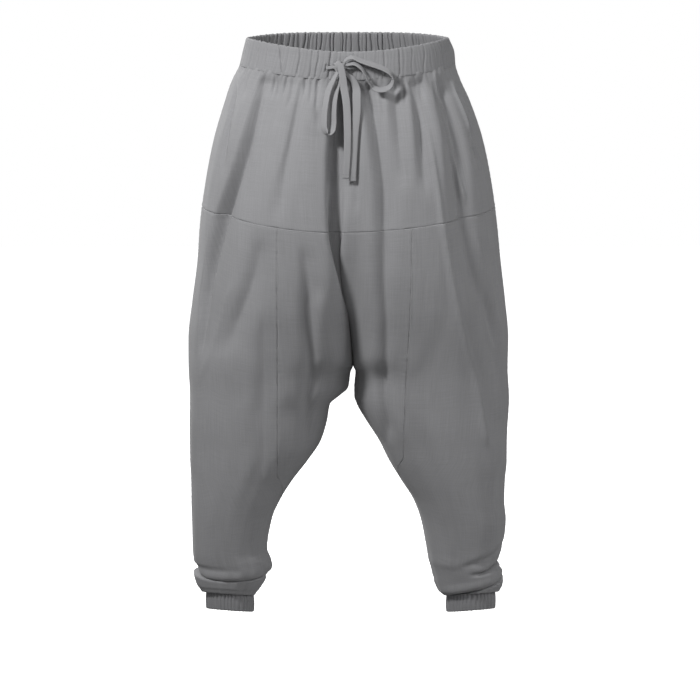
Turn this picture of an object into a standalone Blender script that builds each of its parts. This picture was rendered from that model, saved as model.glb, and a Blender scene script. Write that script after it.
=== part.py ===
"""Drop-crotch harem trousers, filled out as worn, with a drawstring waist and gathered cuffs.

Units are metres, +Z is up and the front faces -Y, so the wearer's right leg is at -X.
The origin is the middle of the waist. Every cloth piece is a thin closed wall on one shared
surface, which runs through level sections from the waist to the ankles. A place on that
surface is a side, a height z and u, which goes from the centre front (0) round the side
seam (0.5) to the centre back (1). Below the crotch u = 0 and u = 1 meet at the inseam.
"""
from collections import namedtuple

import bpy
import numpy as np
from mathutils.kdtree import KDTree

# ---------------------------------------------------------------- driving sizes
CLOTH = 0.0015            # wall of the woven cloth
ELASTIC = 0.003           # wall of the waistband and of the cuffs
SEAM_GAP = 0.0003         # between two sewn pieces
BAND_HEIGHT = 0.0455
BAND_PROUD = 0.0008       # how far the waistband stands out from the cloth
RIM_FRONT, RIM_SIDE, RIM_BACK = 0.009, 0.030, 0.037           # waistband's top edge
RIM_FLATNESS = 2.5        # how far to the sides its back stays high
YOKE_FRONT, YOKE_SIDE, YOKE_BACK = -0.278, -0.246, -0.262     # yoke seam
CROTCH = -0.509
CLEFT_FRONT, CLEFT_BACK = -0.04, -0.16    # where the centre starts to fall in to the crotch
CLEFT_POWER = 1.5                         # 2 falls in later, 1 sooner
CLEFT_WRAP = (0.5, 1.2)                   # the right side of the cleft is steep, the left easy
CLEFT_CORNER = (0.65, 1.0)                # and the right one has the squarer shoulder
CUFF_TOP = -0.8945
CUFF_HEIGHT = 0.029
CUFF_X, CUFF_Y = 0.200, 0.020             # middle of each ankle
CUFF_TILT = 0.176                         # the cuff's front is higher
CUFF_ROLL = 0.078                         # and its outer side is higher
ROUNDNESS = 2.2                           # power of the oval sections, 2 is an ellipse

# ---------------------------------------------------------------- counts
CENTRE_COLUMNS, OUTER_COLUMNS = 8, 14     # across a centre panel's half and an outer panel
YOKE_ROWS = (0, 0.10, 0.24, 0.42, 0.62, 0.81, 1)
UPPER_ROWS = (0, 0.20, 0.40, 0.58, 0.74, 0.87, 0.96, 1)        # yoke seam to crotch
MIDDLE_ROWS = (0, 0.06, 0.19, 0.27, 0.37, 0.53, 0.68, 0.80, 0.90, 1)   # crotch to gusset tip
LOWER_ROWS = (0, 0.22, 0.42, 0.58, 0.70, 0.78, 0.85, 0.92, 1)          # gusset tip to cuff
BAND_GATHERS = 26                         # for each side of the body
YOKE_GATHERS = 22
ANKLE_GATHERS = 14                        # for each leg
CUFF_GATHERS = 22
COLUMNS_PER_GATHER = 4

# ---------------------------------------------------------------- shape
RIGHT, LEFT = 0, 1                        # the wearer's sides, at -X and +X
SIGN = np.array([-1.0, 1.0])
FRONT, BACK = 0, 1

Section = namedtuple(
    "Section", "z right_out right_in left_in left_out front back right_apex left_apex")
SECTIONS = [
    # The apex is where a side stands out most, as a share of the way from its inner edge.
    #        z    right_out right_in left_in left_out front  back right_apex left_apex
    Section(0.060, -0.162, 0.000, 0.000, 0.156, -0.112, 0.109, 0.12, 0.12),
    Section(0.030, -0.168, 0.000, 0.000, 0.160, -0.114, 0.113, 0.12, 0.12),
    Section(0.008, -0.173, 0.000, 0.000, 0.168, -0.115, 0.117, 0.12, 0.12),
    Section(-0.014, -0.179, -0.002, -0.002, 0.171, -0.118, 0.121, 0.12, 0.12),
    Section(-0.040, -0.193, -0.005, -0.005, 0.181, -0.122, 0.130, 0.12, 0.14),
    Section(-0.072, -0.204, -0.010, -0.010, 0.196, -0.134, 0.142, 0.12, 0.20),
    Section(-0.137, -0.223, -0.016, -0.016, 0.218, -0.147, 0.158, 0.13, 0.28),
    Section(-0.202, -0.236, -0.017, -0.017, 0.231, -0.153, 0.168, 0.13, 0.32),
    Section(-0.268, -0.245, -0.016, -0.016, 0.240, -0.155, 0.172, 0.13, 0.34),
    Section(-0.334, -0.250, -0.010, -0.010, 0.247, -0.150, 0.167, 0.15, 0.37),
    Section(-0.400, -0.259, -0.004, -0.004, 0.255, -0.138, 0.154, 0.21, 0.41),
    Section(-0.466, -0.266, 0.002, 0.002, 0.261, -0.119, 0.132, 0.34, 0.46),
    Section(-0.509, -0.266, 0.005, 0.005, 0.260, -0.107, 0.118, 0.50, 0.50),
    Section(-0.519, -0.266, 0.001, 0.009, 0.260, -0.105, 0.115, 0.50, 0.50),
    Section(-0.545, -0.264, -0.003, 0.007, 0.262, -0.101, 0.110, 0.50, 0.50),
    Section(-0.558, -0.264, -0.017, 0.007, 0.263, -0.099, 0.108, 0.50, 0.50),
    Section(-0.572, -0.264, -0.033, 0.011, 0.263, -0.097, 0.107, 0.50, 0.50),
    Section(-0.600, -0.265, -0.038, 0.027, 0.261, -0.094, 0.104, 0.50, 0.50),
    Section(-0.633, -0.265, -0.048, 0.048, 0.260, -0.089, 0.102, 0.50, 0.50),
    Section(-0.667, -0.265, -0.070, 0.065, 0.260, -0.084, 0.100, 0.50, 0.50),
    Section(-0.700, -0.264, -0.095, 0.085, 0.257, -0.078, 0.098, 0.50, 0.50),
    Section(-0.734, -0.264, -0.116, 0.106, 0.256, -0.071, 0.095, 0.50, 0.50),
    Section(-0.767, -0.263, -0.130, 0.118, 0.259, -0.064, 0.091, 0.50, 0.50),
    Section(-0.818, -0.262, -0.138, 0.128, 0.252, -0.053, 0.084, 0.50, 0.50),
    Section(-0.841, -0.256, -0.131, 0.132, 0.246, -0.048, 0.080, 0.50, 0.50),
    Section(-0.863, -0.259, -0.138, 0.138, 0.254, -0.042, 0.077, 0.50, 0.50),
    Section(-0.889, -0.247, -0.153, 0.148, 0.250, -0.032, 0.071, 0.50, 0.50),
    Section(-0.900, -0.241, -0.160, 0.160, 0.243, -0.026, 0.066, 0.50, 0.50),
    Section(-0.940, -0.239, -0.165, 0.166, 0.242, -0.026, 0.066, 0.50, 0.50),
]

# The seam between a centre panel and the outer panel, as x at heights, down to the gusset tip.
Seam = namedtuple("Seam", "tip heights places")
SEAMS = {
    RIGHT: Seam(-0.738, (-0.200, -0.400, -0.600, -0.710), (-0.116, -0.117, -0.117, -0.118)),
    LEFT: Seam(-0.706, (-0.200, -0.400, -0.560, -0.680), (0.099, 0.097, 0.089, 0.087)),
}
TIP_TAPER = 0.05          # height over which a gusset comes to its point
TIP_CLEARANCE = 0.001     # and how far it stops short of the inseam there

# Long folds: a groove with its own width toward the centre and toward the side, through four
# places that are evenly spaced in height from its top to its bottom.
Fold = namedtuple("Fold", "side face depth inward outward top bottom x_top x_upper x_lower x_bottom")
FOLDS = [
    #    side   face    depth  inward outward top     bottom  x_top   x_upper x_lower x_bottom
    Fold(RIGHT, FRONT, 0.012, 0.045, 0.018, -0.030, -0.430, -0.129, -0.157, -0.196, -0.231),
    Fold(RIGHT, FRONT, 0.004, 0.024, 0.014, -0.036, -0.280, -0.078, -0.092, -0.109, -0.130),
    Fold(RIGHT, FRONT, 0.006, 0.014, 0.032, -0.290, -0.640, -0.080, -0.063, -0.064, -0.078),
    Fold(RIGHT, FRONT, 0.004, 0.025, 0.016, -0.270, -0.540, -0.134, -0.160, -0.172, -0.160),
    Fold(LEFT, FRONT, 0.009, 0.016, 0.034, -0.045, -0.650, 0.020, 0.054, 0.060, 0.078),
    Fold(LEFT, FRONT, 0.003, 0.012, 0.018, -0.036, -0.220, 0.076, 0.081, 0.086, 0.089),
    Fold(LEFT, FRONT, 0.003, 0.012, 0.018, -0.036, -0.230, 0.095, 0.105, 0.111, 0.113),
    Fold(LEFT, FRONT, 0.012, 0.022, 0.040, -0.036, -0.650, 0.119, 0.173, 0.221, 0.246),
    Fold(LEFT, FRONT, 0.005, 0.014, 0.024, -0.036, -0.250, 0.143, 0.175, 0.200, 0.224),
    Fold(RIGHT, BACK, 0.010, 0.040, 0.020, -0.030, -0.460, -0.110, -0.142, -0.186, -0.228),
    Fold(RIGHT, BACK, 0.005, 0.030, 0.018, -0.030, -0.330, -0.056, -0.070, -0.092, -0.118),
    Fold(RIGHT, BACK, 0.006, 0.018, 0.034, -0.300, -0.680, -0.088, -0.070, -0.070, -0.092),
    Fold(RIGHT, BACK, 0.005, 0.024, 0.024, -0.420, -0.780, -0.205, -0.212, -0.215, -0.208),
    Fold(LEFT, BACK, 0.009, 0.020, 0.038, -0.030, -0.480, 0.098, 0.146, 0.192, 0.232),
    Fold(LEFT, BACK, 0.005, 0.018, 0.030, -0.030, -0.300, 0.040, 0.052, 0.070, 0.094),
    Fold(LEFT, BACK, 0.006, 0.034, 0.018, -0.280, -0.660, 0.092, 0.074, 0.068, 0.082),
    Fold(LEFT, BACK, 0.005, 0.024, 0.022, -0.400, -0.760, 0.214, 0.220, 0.216, 0.206),
]
FOLD_FADE = 0.07          # height over which a fold comes and goes
EDGE_FADE = 0.02          # u over which it ends at the centre and at the side seam

# Creases round an ankle, where the long leg settles on its cuff.
Crease = namedtuple("Crease", "side u z spread slope depth width")
CREASES = [
    #      side   u     z       spread slope  depth  width
    Crease(RIGHT, 0.30, -0.866, 0.24, 0.010, 0.006, 0.009),
    Crease(RIGHT, 0.05, -0.848, 0.10, 0.060, 0.004, 0.009),
    Crease(RIGHT, 0.47, -0.838, 0.09, -0.02, 0.004, 0.009),
    Crease(RIGHT, 0.76, -0.860, 0.20, -0.03, 0.006, 0.009),
    Crease(RIGHT, 0.66, -0.822, 0.12, 0.050, 0.004, 0.010),
    Crease(LEFT, 0.27, -0.876, 0.22, 0.050, 0.006, 0.009),
    Crease(LEFT, 0.43, -0.850, 0.10, 0.040, 0.005, 0.009),
    Crease(LEFT, 0.06, -0.852, 0.10, -0.04, 0.003, 0.009),
    Crease(LEFT, 0.74, -0.862, 0.20, -0.04, 0.006, 0.009),
    Crease(LEFT, 0.62, -0.826, 0.12, 0.050, 0.004, 0.010),
]

BAND_WAVE, YOKE_WAVE, ANKLE_WAVE, CUFF_WAVE = 0.0012, 0.0016, 0.0018, 0.0010
YOKE_WAVE_LENGTH, ANKLE_WAVE_LENGTH = 0.080, 0.030      # how far the gathers run into the cloth

# ---------------------------------------------------------------- drawstring
TAPE_WIDTH, TAPE_THICK = 0.012, 0.0018
TAPE_STEP = 0.006                         # between two sections of a tape
KNOT_X, KNOT_Z, KNOT_LIFT = -0.0151, -0.0149, 0.0085
KNOT_SIZE = (0.0090, 0.0055, 0.0075)      # half sizes
KNOT_RINGS, KNOT_SEGMENTS = 8, 14

# x and z, the lift in front of the cloth, and the spread as a share of the tape's width.
# "across" is the direction of the tape's width.
Strand = namedtuple("Strand", "across rows")
STRANDS = {
    "drawstring_lead_right": Strand((0, 0, 1), [
        (-0.0382, -0.0168, 0.0028, 0.45),
        (-0.0318, -0.0162, 0.0045, 0.40),
        (-0.0243, -0.0156, 0.0080, 0.40),
    ]),
    "drawstring_lead_left": Strand((0, 0, 1), [
        (0.0183, -0.0168, 0.0034, 0.45),
        (0.0080, -0.0162, 0.0048, 0.40),
        (-0.0059, -0.0152, 0.0080, 0.40),
    ]),
    "drawstring_loop_left": Strand((0.10, -0.75, -0.65), [
        (-0.0094, -0.0081, 0.0090, 0.50),
        (-0.0045, -0.0020, 0.0108, 0.65),
        (0.0042, 0.0002, 0.0120, 0.75),
        (0.0143, -0.0040, 0.0125, 0.90),
        (0.0270, -0.0085, 0.0125, 1.00),
        (0.0413, -0.0130, 0.0120, 1.05),
        (0.0540, -0.0180, 0.0120, 1.05),
        (0.0640, -0.0250, 0.0120, 1.00),
        (0.0680, -0.0340, 0.0120, 1.00),
        (0.0655, -0.0430, 0.0120, 1.00),
        (0.0575, -0.0495, 0.0120, 1.00),
        (0.0461, -0.0510, 0.0120, 1.00),
        (0.0358, -0.0460, 0.0120, 0.95),
        (0.0280, -0.0354, 0.0125, 0.90),
        (0.0232, -0.0245, 0.0125, 0.85),
        (0.0165, -0.0155, 0.0125, 0.75),
        (0.0070, -0.0100, 0.0120, 0.65),
        (-0.0069, -0.0114, 0.0100, 0.50),
    ]),
    "drawstring_loop_right": Strand((0.70, -0.68, -0.20), [
        (-0.0206, -0.0212, 0.0085, 0.50),
        (-0.0262, -0.0345, 0.0090, 0.80),
        (-0.0342, -0.0513, 0.0090, 1.00),
        (-0.0390, -0.0751, 0.0090, 1.00),
        (-0.0410, -0.0970, 0.0090, 1.00),
        (-0.0398, -0.1130, 0.0090, 1.00),
        (-0.0350, -0.1200, 0.0090, 1.00),
        (-0.0292, -0.1165, 0.0090, 1.00),
        (-0.0262, -0.1060, 0.0090, 0.95),
        (-0.0257, -0.0878, 0.0090, 0.90),
        (-0.0247, -0.0719, 0.0085, 0.80),
        (-0.0222, -0.0577, 0.0085, 0.70),
        (-0.0188, -0.0450, 0.0080, 0.60),
        (-0.0155, -0.0335, 0.0080, 0.55),
        (-0.0139, -0.0227, 0.0080, 0.50),
    ]),
    "drawstring_tail_front": Strand((1, 0, 0), [
        (-0.0175, -0.0060, 0.0140, 0.80),
        (-0.0151, -0.0131, 0.0152, 0.85),
        (-0.0119, -0.0289, 0.0150, 0.95),
        (-0.0095, -0.0479, 0.0150, 1.00),
        (-0.0064, -0.0669, 0.0115, 1.00),
        (-0.0042, -0.0986, 0.0090, 1.00),
        (-0.0040, -0.1304, 0.0090, 0.95),
        (-0.0048, -0.1622, 0.0095, 0.90),
        (-0.0065, -0.1909, 0.0095, 0.85),
    ]),
    "drawstring_tail_behind": Strand((1, 0, 0), [
        (-0.0100, -0.0217, 0.0066, 0.40),
        (-0.0030, -0.0282, 0.0058, 0.60),
        (0.0048, -0.0360, 0.0052, 0.85),
        (0.0095, -0.0470, 0.0047, 1.05),
        (0.0103, -0.0670, 0.0045, 1.15),
        (0.0100, -0.0908, 0.0045, 1.10),
        (0.0080, -0.1147, 0.0045, 1.00),
        (0.0061, -0.1465, 0.0045, 0.95),
        (0.0048, -0.1784, 0.0045, 0.90),
        (0.0040, -0.1959, 0.0045, 0.90),
    ]),
}

CLOTH_COLOUR = (0.262, 0.262, 0.270)
TAPE_COLOUR = (0.290, 0.290, 0.298)
ROUGHNESS = 0.9
SHARP_ANGLE = np.radians(50)

# ---------------------------------------------------------------- curves through tables


def hermite(places, values, tangents, at):
    """Cubic curve through (places, values) with the given tangents, held flat past its ends."""
    step = np.diff(places)
    k = np.clip(np.searchsorted(places, at, side="right") - 1, 0, len(step) - 1)
    t = np.clip((at - places[k]) / step[k], 0.0, 1.0)
    start = (1 + 2 * t) * (1 - t) ** 2 * values[k] + t * (1 - t) ** 2 * step[k] * tangents[k]
    end = t * t * (3 - 2 * t) * values[k + 1] + t * t * (t - 1) * step[k] * tangents[k + 1]
    return start + end


def smooth(places, values, at):
    """Curve through a table that never swings past its values; the places may run either way."""
    places, values = np.asarray(places, float), np.asarray(values, float)
    if places[0] > places[-1]:
        places, values = places[::-1], values[::-1]
    slope = np.diff(values) / np.diff(places)
    before, after = slope[:-1], slope[1:]
    turning = before * after <= 0
    total = np.where(turning, 1.0, before + after)
    inner = np.where(turning, 0.0, 2 * before * after / total)
    tangents = np.concatenate([slope[:1], inner, slope[-1:]])
    return hermite(places, values, tangents, np.asarray(at, float))


def ease(share):
    """0 below 0, 1 above 1 and a soft step between."""
    share = np.clip(share, 0.0, 1.0)
    return share * share * (3 - 2 * share)


def mix(start, end, share):
    return start + (end - start) * share


# ---------------------------------------------------------------- the shared surface

HALF_SAMPLES = 129
TABLE_TOP, TABLE_BOTTOM = 0.060, -0.940
CORNER_END = 0.75                         # share of the fall where the square shoulder starts to ease
BELOW_ROWS, ABOVE_ROWS = 180, 220         # of the table, under and over the crotch
QUARTER = np.linspace(0, 1, 40)
REACH_U, REACH_Z = 0.004, 0.002           # to either side, for the slope at a place
TINY = 1e-6


def table_heights():
    """Heights of the table, close together just above the crotch, where the centre turns under."""
    below = np.linspace(TABLE_BOTTOM, CROTCH, BELOW_ROWS, endpoint=False)
    above = CROTCH + (TABLE_TOP - CROTCH) * np.linspace(0, 1, ABOVE_ROWS) ** 2
    return np.concatenate([below, above])


HEIGHTS = table_heights()
COLUMN = {name: smooth([row.z for row in SECTIONS], [getattr(row, name) for row in SECTIONS], HEIGHTS)
          for name in Section._fields[1:]}
CENTRE_X = (COLUMN["right_in"] + COLUMN["left_in"]) / 2       # both sides share it down to the crotch
for name in ("right_in", "left_in"):
    COLUMN[name] = np.where(HEIGHTS < CROTCH, COLUMN[name], CENTRE_X)


def half_loop(inner, outer, inner_y, face_y, side_y, apex, wrap, corner):
    """One side's front or back half of a section, evenly spaced from its inner edge to its side."""
    apex_x = mix(inner, outer, apex)
    turn = np.pi / 2 * QUARTER[::-1]
    along = mix(QUARTER[::-1], np.sin(turn) ** corner, wrap)
    fall = mix((1 - np.cos(2 * turn)) / 2, 1 - np.abs(np.cos(turn)) ** corner, wrap)
    power = 2 / ROUNDNESS
    turn = np.pi / 2 * QUARTER[1:]
    x = np.concatenate([mix(apex_x, inner, along), mix(apex_x, outer, np.sin(turn) ** power)])
    y = np.concatenate([mix(face_y, inner_y, fall), mix(side_y, face_y, np.abs(np.cos(turn)) ** power)])
    length = np.concatenate([[0.0], np.cumsum(np.hypot(np.diff(x), np.diff(y)))])
    even = np.linspace(0, length[-1], HALF_SAMPLES)
    return np.interp(even, length, x), np.interp(even, length, y), length[-1]


def recess(start, z):
    """How far the centre has fallen in, from 0 to 1 at the crotch, as a quarter of an ellipse."""
    share = np.clip((start - z) / (start - CROTCH), 0.0, 1.0)
    return 1 - np.sqrt(1 - share ** CLEFT_POWER)


def build_tables():
    """Points of every section, for both sides, and the length of each front and back half."""
    points = np.zeros((2, len(HEIGHTS), 2 * HALF_SAMPLES - 1, 2))
    lengths = np.zeros((2, 2, len(HEIGHTS)))
    for side, word in ((RIGHT, "right"), (LEFT, "left")):
        for k, z in enumerate(HEIGHTS):
            inner, outer = COLUMN[word + "_in"][k], COLUMN[word + "_out"][k]
            faces = (COLUMN["front"][k], COLUMN["back"][k])
            side_y = sum(faces) / 2
            for face, start in ((FRONT, CLEFT_FRONT), (BACK, CLEFT_BACK)):
                fall = recess(start, z)
                inner_y = mix(faces[face], side_y, fall)
                corner = mix(CLEFT_CORNER[side], 1.0, ease((fall - CORNER_END) / (1 - CORNER_END)))
                x, y, length = half_loop(inner, outer, inner_y, faces[face], side_y,
                                         COLUMN[word + "_apex"][k], fall ** CLEFT_WRAP[side], corner)
                half = np.stack([x, y], axis=1)
                if face == FRONT:
                    points[side, k, :HALF_SAMPLES] = half
                else:
                    points[side, k, HALF_SAMPLES - 1:] = half[::-1]
                lengths[side, face, k] = length
    return points, lengths


POINTS, LENGTHS = build_tables()


def base(side, u, z):
    """x and y on the plain surface. Past u = 0 or 1 it goes on round the leg or across the centre."""
    outside = (u < 0) | (u > 1)
    below = z < CROTCH
    side = np.where(outside & ~below, 1 - side, side)
    u = np.where(outside, np.where(below, u % 1.0, np.where(u < 0, -u, 2 - u)), u)
    row = np.interp(z, HEIGHTS, np.arange(len(HEIGHTS)))
    column = u * (POINTS.shape[2] - 1)
    r = np.clip(row.astype(int), 0, len(HEIGHTS) - 2)
    c = np.clip(column.astype(int), 0, POINTS.shape[2] - 2)
    v, w = (row - r)[..., None], (column - c)[..., None]
    upper = mix(POINTS[side, r, c], POINTS[side, r, c + 1], w)
    lower = mix(POINTS[side, r + 1, c], POINTS[side, r + 1, c + 1], w)
    return mix(upper, lower, v)


def u_at(side, face, x, z):
    """The u of a place that is given by its x, on one side's front or back."""
    row = int(round(float(np.interp(z, HEIGHTS, np.arange(len(HEIGHTS))))))
    samples = POINTS[side, row, :HALF_SAMPLES, 0]
    if face == BACK:
        samples = POINTS[side, row, HALF_SAMPLES - 1:, 0][::-1]
    share = np.interp(SIGN[side] * x, SIGN[side] * samples, np.linspace(0, 0.5, HALF_SAMPLES))
    return share if face == FRONT else 1 - share


def path_u(side, face, heights, places):
    """The u of a line down the cloth, at each height of the table."""
    x = smooth(heights, places, HEIGHTS)
    return np.array([u_at(side, face, x[k], z) for k, z in enumerate(HEIGHTS)])


def metres_per_u(side, face, z):
    return 2 * np.interp(z, HEIGHTS, LENGTHS[side, face])


# ---------------------------------------------------------------- folds, creases and gathers

FOLD_PATHS = [path_u(fold.side, fold.face, np.linspace(fold.top, fold.bottom, 4), fold[-4:])
              for fold in FOLDS]


def fold_relief(side, u, z):
    """Depth of all long folds at a place."""
    total = np.zeros(np.shape(z))
    for fold, path in zip(FOLDS, FOLD_PATHS):
        face = np.where(u <= 0.5, FRONT, BACK)
        near = (side == fold.side) & (face == fold.face)
        distance = (u - np.interp(z, HEIGHTS, path)) * metres_per_u(fold.side, fold.face, z)
        if fold.face == BACK:
            distance = -distance
        width = np.where(distance < 0, fold.inward, fold.outward)
        fade = ease((fold.top - z) / FOLD_FADE) * ease((z - fold.bottom) / FOLD_FADE)
        edge = ease(np.minimum(np.abs(u - 0.5), np.minimum(u, 1 - u)) / EDGE_FADE)
        total -= np.where(near, fold.depth * fade * edge * np.exp(-(distance / width) ** 2), 0.0)
    return total


def crease_relief(side, u, z):
    """Depth of the creases round the ankles."""
    total = np.zeros(np.shape(z))
    for crease in CREASES:
        around = (u - crease.u + 0.5) % 1.0 - 0.5
        off = z - crease.z - crease.slope * around
        shape = np.exp(-(around / crease.spread) ** 2 - (off / crease.width) ** 2)
        total -= np.where(side == crease.side, crease.depth * shape, 0.0)
    return total


def wave(gathers, u):
    return np.cos(2 * np.pi * gathers * u)


def cloth_relief(side, u, z):
    """How far the cloth stands off the plain surface."""
    into_yoke = 1 - (band_bottom(u) - z) / YOKE_WAVE_LENGTH
    into_leg = 1 - (z - CUFF_TOP) / ANKLE_WAVE_LENGTH
    gathers = YOKE_WAVE * ease(into_yoke) * wave(YOKE_GATHERS, u)
    gathers = gathers + ANKLE_WAVE * ease(into_leg) * wave(ANKLE_GATHERS, u)
    return gathers + fold_relief(side, u, z) + crease_relief(side, u, z)


def band_relief(side, u, z):
    return BAND_PROUD + BAND_WAVE * wave(BAND_GATHERS, u)


def cuff_relief(side, u, z):
    return CUFF_WAVE * wave(CUFF_GATHERS, u)


def surface(side, u, z, relief):
    """Point of the cloth: the plain surface, moved level along its own outward direction."""
    plain = base(side, u, z)
    along = base(side, u + REACH_U, z) - base(side, u - REACH_U, z)
    out = SIGN[side][..., None] * np.stack([along[..., 1], -along[..., 0]], axis=-1)
    out /= np.linalg.norm(out, axis=-1, keepdims=True)
    shape = relief(side, np.where((u < 0) | (u > 1), u % 1.0, u), z)
    moved = plain + out * shape[..., None]
    return np.concatenate([moved, np.broadcast_to(z, moved.shape[:-1])[..., None]], axis=-1)


def outward(side, u, z, relief, level):
    """Unit direction out of the cloth; a level one leaves a flat rim."""
    across = surface(side, u + REACH_U, z, relief) - surface(side, u - REACH_U, z, relief)
    up = surface(side, u, z + REACH_Z, relief) - surface(side, u, z - REACH_Z, relief)
    normal = SIGN[side][..., None] * np.cross(across, up)
    turning = (np.abs(z - CROTCH) < TINY) & ((u < TINY) | (u > 1 - TINY))
    normal[turning] = (0.0, 0.0, -1.0)
    if level:
        normal[..., 2] = 0.0
    return normal / np.linalg.norm(normal, axis=-1, keepdims=True)


# ---------------------------------------------------------------- edges and seams


def rim_height(u):
    """The waistband's top edge."""
    side_share = np.sin(np.pi * u) ** 2
    front = mix(RIM_FRONT, RIM_SIDE, side_share)
    back = mix(RIM_BACK, RIM_SIDE, side_share ** RIM_FLATNESS)
    return np.where(u < 0.5, front, back)


def band_bottom(u):
    return rim_height(u) - BAND_HEIGHT


def yoke_seam(u):
    side_share = np.sin(np.pi * u) ** 2
    return mix(np.where(u < 0.5, YOKE_FRONT, YOKE_BACK), YOKE_SIDE, side_share)


def cuff_plane(side, x, y):
    """Height of the cuff's top edge."""
    return CUFF_TOP + CUFF_ROLL * (SIGN[side] * x - CUFF_X) - CUFF_TILT * (y - CUFF_Y)


def cuff_edge(side, u):
    place = base(side, u, np.full(np.shape(u), CUFF_TOP))
    return cuff_plane(side, place[..., 0], place[..., 1])


def seam_lines():
    """The u of each vertical seam at each height of the table; 0 or 1 below the gusset tip."""
    lines = {}
    for side, seam in SEAMS.items():
        inner = COLUMN[("right", "left")[side] + "_in"]
        tip_x = float(np.interp(seam.tip, HEIGHTS, inner))
        for face in (FRONT, BACK):
            line = path_u(side, face, seam.heights + (seam.tip,), seam.places + (tip_x,))
            taper = np.clip((HEIGHTS - seam.tip) / TIP_TAPER, 0, 1)
            begin = np.interp(seam.tip + TIP_TAPER, HEIGHTS, line)
            lines[side, face] = np.where(taper < 1, mix(face, begin, taper), line)
    return lines


SEAM_LINES = seam_lines()


def seam_u(side, face, level):
    if level <= SEAMS[side].tip + TINY:
        return float(face)
    return float(np.interp(level, HEIGHTS, SEAM_LINES[side, face]))


CROTCH_ROW = len(UPPER_ROWS) - 1
TIP_ROW = CROTCH_ROW + len(MIDDLE_ROWS) - 1


def leg_levels(side):
    """Nominal heights of a leg's rows, from the yoke seam to the cuff."""
    tip = SEAMS[side].tip
    upper = [mix(YOKE_BACK, CROTCH, share) for share in UPPER_ROWS]
    middle = [mix(CROTCH, tip, share) for share in MIDDLE_ROWS[1:]]
    lower = [mix(tip, CUFF_TOP, share) for share in LOWER_ROWS[1:]]
    return np.array(upper + middle + lower)


def leg_heights(side, level, u):
    """Height of a row that follows the yoke seam at its top and the cuff at its bottom."""
    upper = np.clip((level - CROTCH) / (YOKE_BACK - CROTCH), 0, 1)
    lower = np.clip((CROTCH - level) / (CROTCH - CUFF_TOP), 0, 1) ** 3
    return level + (yoke_seam(u) - YOKE_BACK) * upper + (cuff_edge(side, u) - CUFF_TOP) * lower


def half_gap(side, face, z):
    return SEAM_GAP / 2 / metres_per_u(side, face, z)


def spread(start, end, columns):
    return np.linspace(start, end, columns + 1)


# ---------------------------------------------------------------- solids


def make_material(name, colour):
    material = bpy.data.materials.new(name)
    material.use_nodes = True
    shader = material.node_tree.nodes["Principled BSDF"]
    shader.inputs["Base Color"].default_value = (*colour, 1.0)
    shader.inputs["Roughness"].default_value = ROUGHNESS
    shader.inputs["Metallic"].default_value = 0.0
    return material


def add_object(name, vertices, faces, colour):
    mesh = bpy.data.meshes.new(name)
    mesh.from_pydata([tuple(map(float, vertex)) for vertex in vertices], [], faces)
    mesh.validate()
    mesh.shade_smooth()
    mesh.set_sharp_from_angle(angle=SHARP_ANGLE)
    mesh.materials.append(make_material(name, colour))
    item = bpy.data.objects.new(name, mesh)
    item.parent = bpy.data.objects["trousers"]
    bpy.context.scene.collection.objects.link(item)
    return item


def grid_faces(side, rows, columns, first):
    """Faces of a grid that starts at vertex number first, with their fronts outward."""
    faces = []
    for i in range(rows - 1):
        for j in range(columns - 1):
            corner = first + i * columns + j
            face = (corner + columns, corner + columns + 1, corner + 1, corner)
            faces.append(face if side == LEFT else face[::-1])
    return faces


WELD = 0.00002            # corners closer than this are one corner


def weld(points, faces):
    """Joins corners that lie together and drops what is left of the faces between them."""
    tree = KDTree(len(points))
    for index, point in enumerate(points):
        tree.insert(point, index)
    tree.balance()
    lowest = [min(index for _, index, _ in tree.find_range(point, WELD)) for point in points]
    kept = sorted(set(lowest))
    number = {index: place for place, index in enumerate(kept)}
    joined = []
    for face in faces:
        corners = [number[lowest[corner]] for corner in face]
        corners = [c for n, c in enumerate(corners) if c != corners[n - 1]]
        if len(corners) > 2:
            joined.append(tuple(corners))
    return kept, joined


def split(points, faces):
    """Triangles: each four-cornered face is cut along its shorter diagonal."""
    triangles = []
    for face in faces:
        if len(face) == 3:
            triangles.append(face)
            continue
        a, b, c, d = face
        if np.linalg.norm(points[a] - points[c]) <= np.linalg.norm(points[b] - points[d]):
            triangles += [(a, b, c), (a, c, d)]
        else:
            triangles += [(a, b, d), (b, c, d)]
    return triangles


def add_wall(name, grids, thickness, relief, level=False, finish=None):
    """A closed wall over one or more grids: outer faces, inner faces and a rim on open edges.
    Both sides have the same triangles, so the wall keeps its thickness where a face is twisted."""
    outer, inner, faces = [], [], []
    for side, u, z in grids:
        sides = np.full(u.shape, side)
        points = surface(sides, u, z, relief)
        behind = points - thickness * outward(sides, u, z, relief, level)
        if finish:
            finish(side, points)
            finish(side, behind)
        faces += grid_faces(side, *u.shape, sum(len(part) for part in outer))
        outer.append(points.reshape(-1, 3))
        inner.append(behind.reshape(-1, 3))
    outer, inner = np.concatenate(outer), np.concatenate(inner)
    kept, faces = weld(outer, faces)
    outer, inner = outer[kept], inner[kept]
    faces = split(outer, faces)
    count = len(outer)
    edges = {(a, b) for face in faces for a, b in zip(face, face[1:] + face[:1])}
    rim = [(b, a, a + count, b + count) for a, b in edges if (b, a) not in edges]
    turned = [tuple(corner + count for corner in reversed(face)) for face in faces]
    return add_object(name, np.concatenate([outer, inner]), faces + turned + sorted(rim), CLOTH_COLOUR)


# ---------------------------------------------------------------- cut pieces


def add_waistband():
    columns = BAND_GATHERS * COLUMNS_PER_GATHER
    u = np.tile(spread(0, 1, columns), (2, 1))
    z = np.stack([rim_height(u[0]), band_bottom(u[0])])
    add_wall("waistband", [(RIGHT, u, z), (LEFT, u, z)], ELASTIC, band_relief, level=True)


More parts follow.
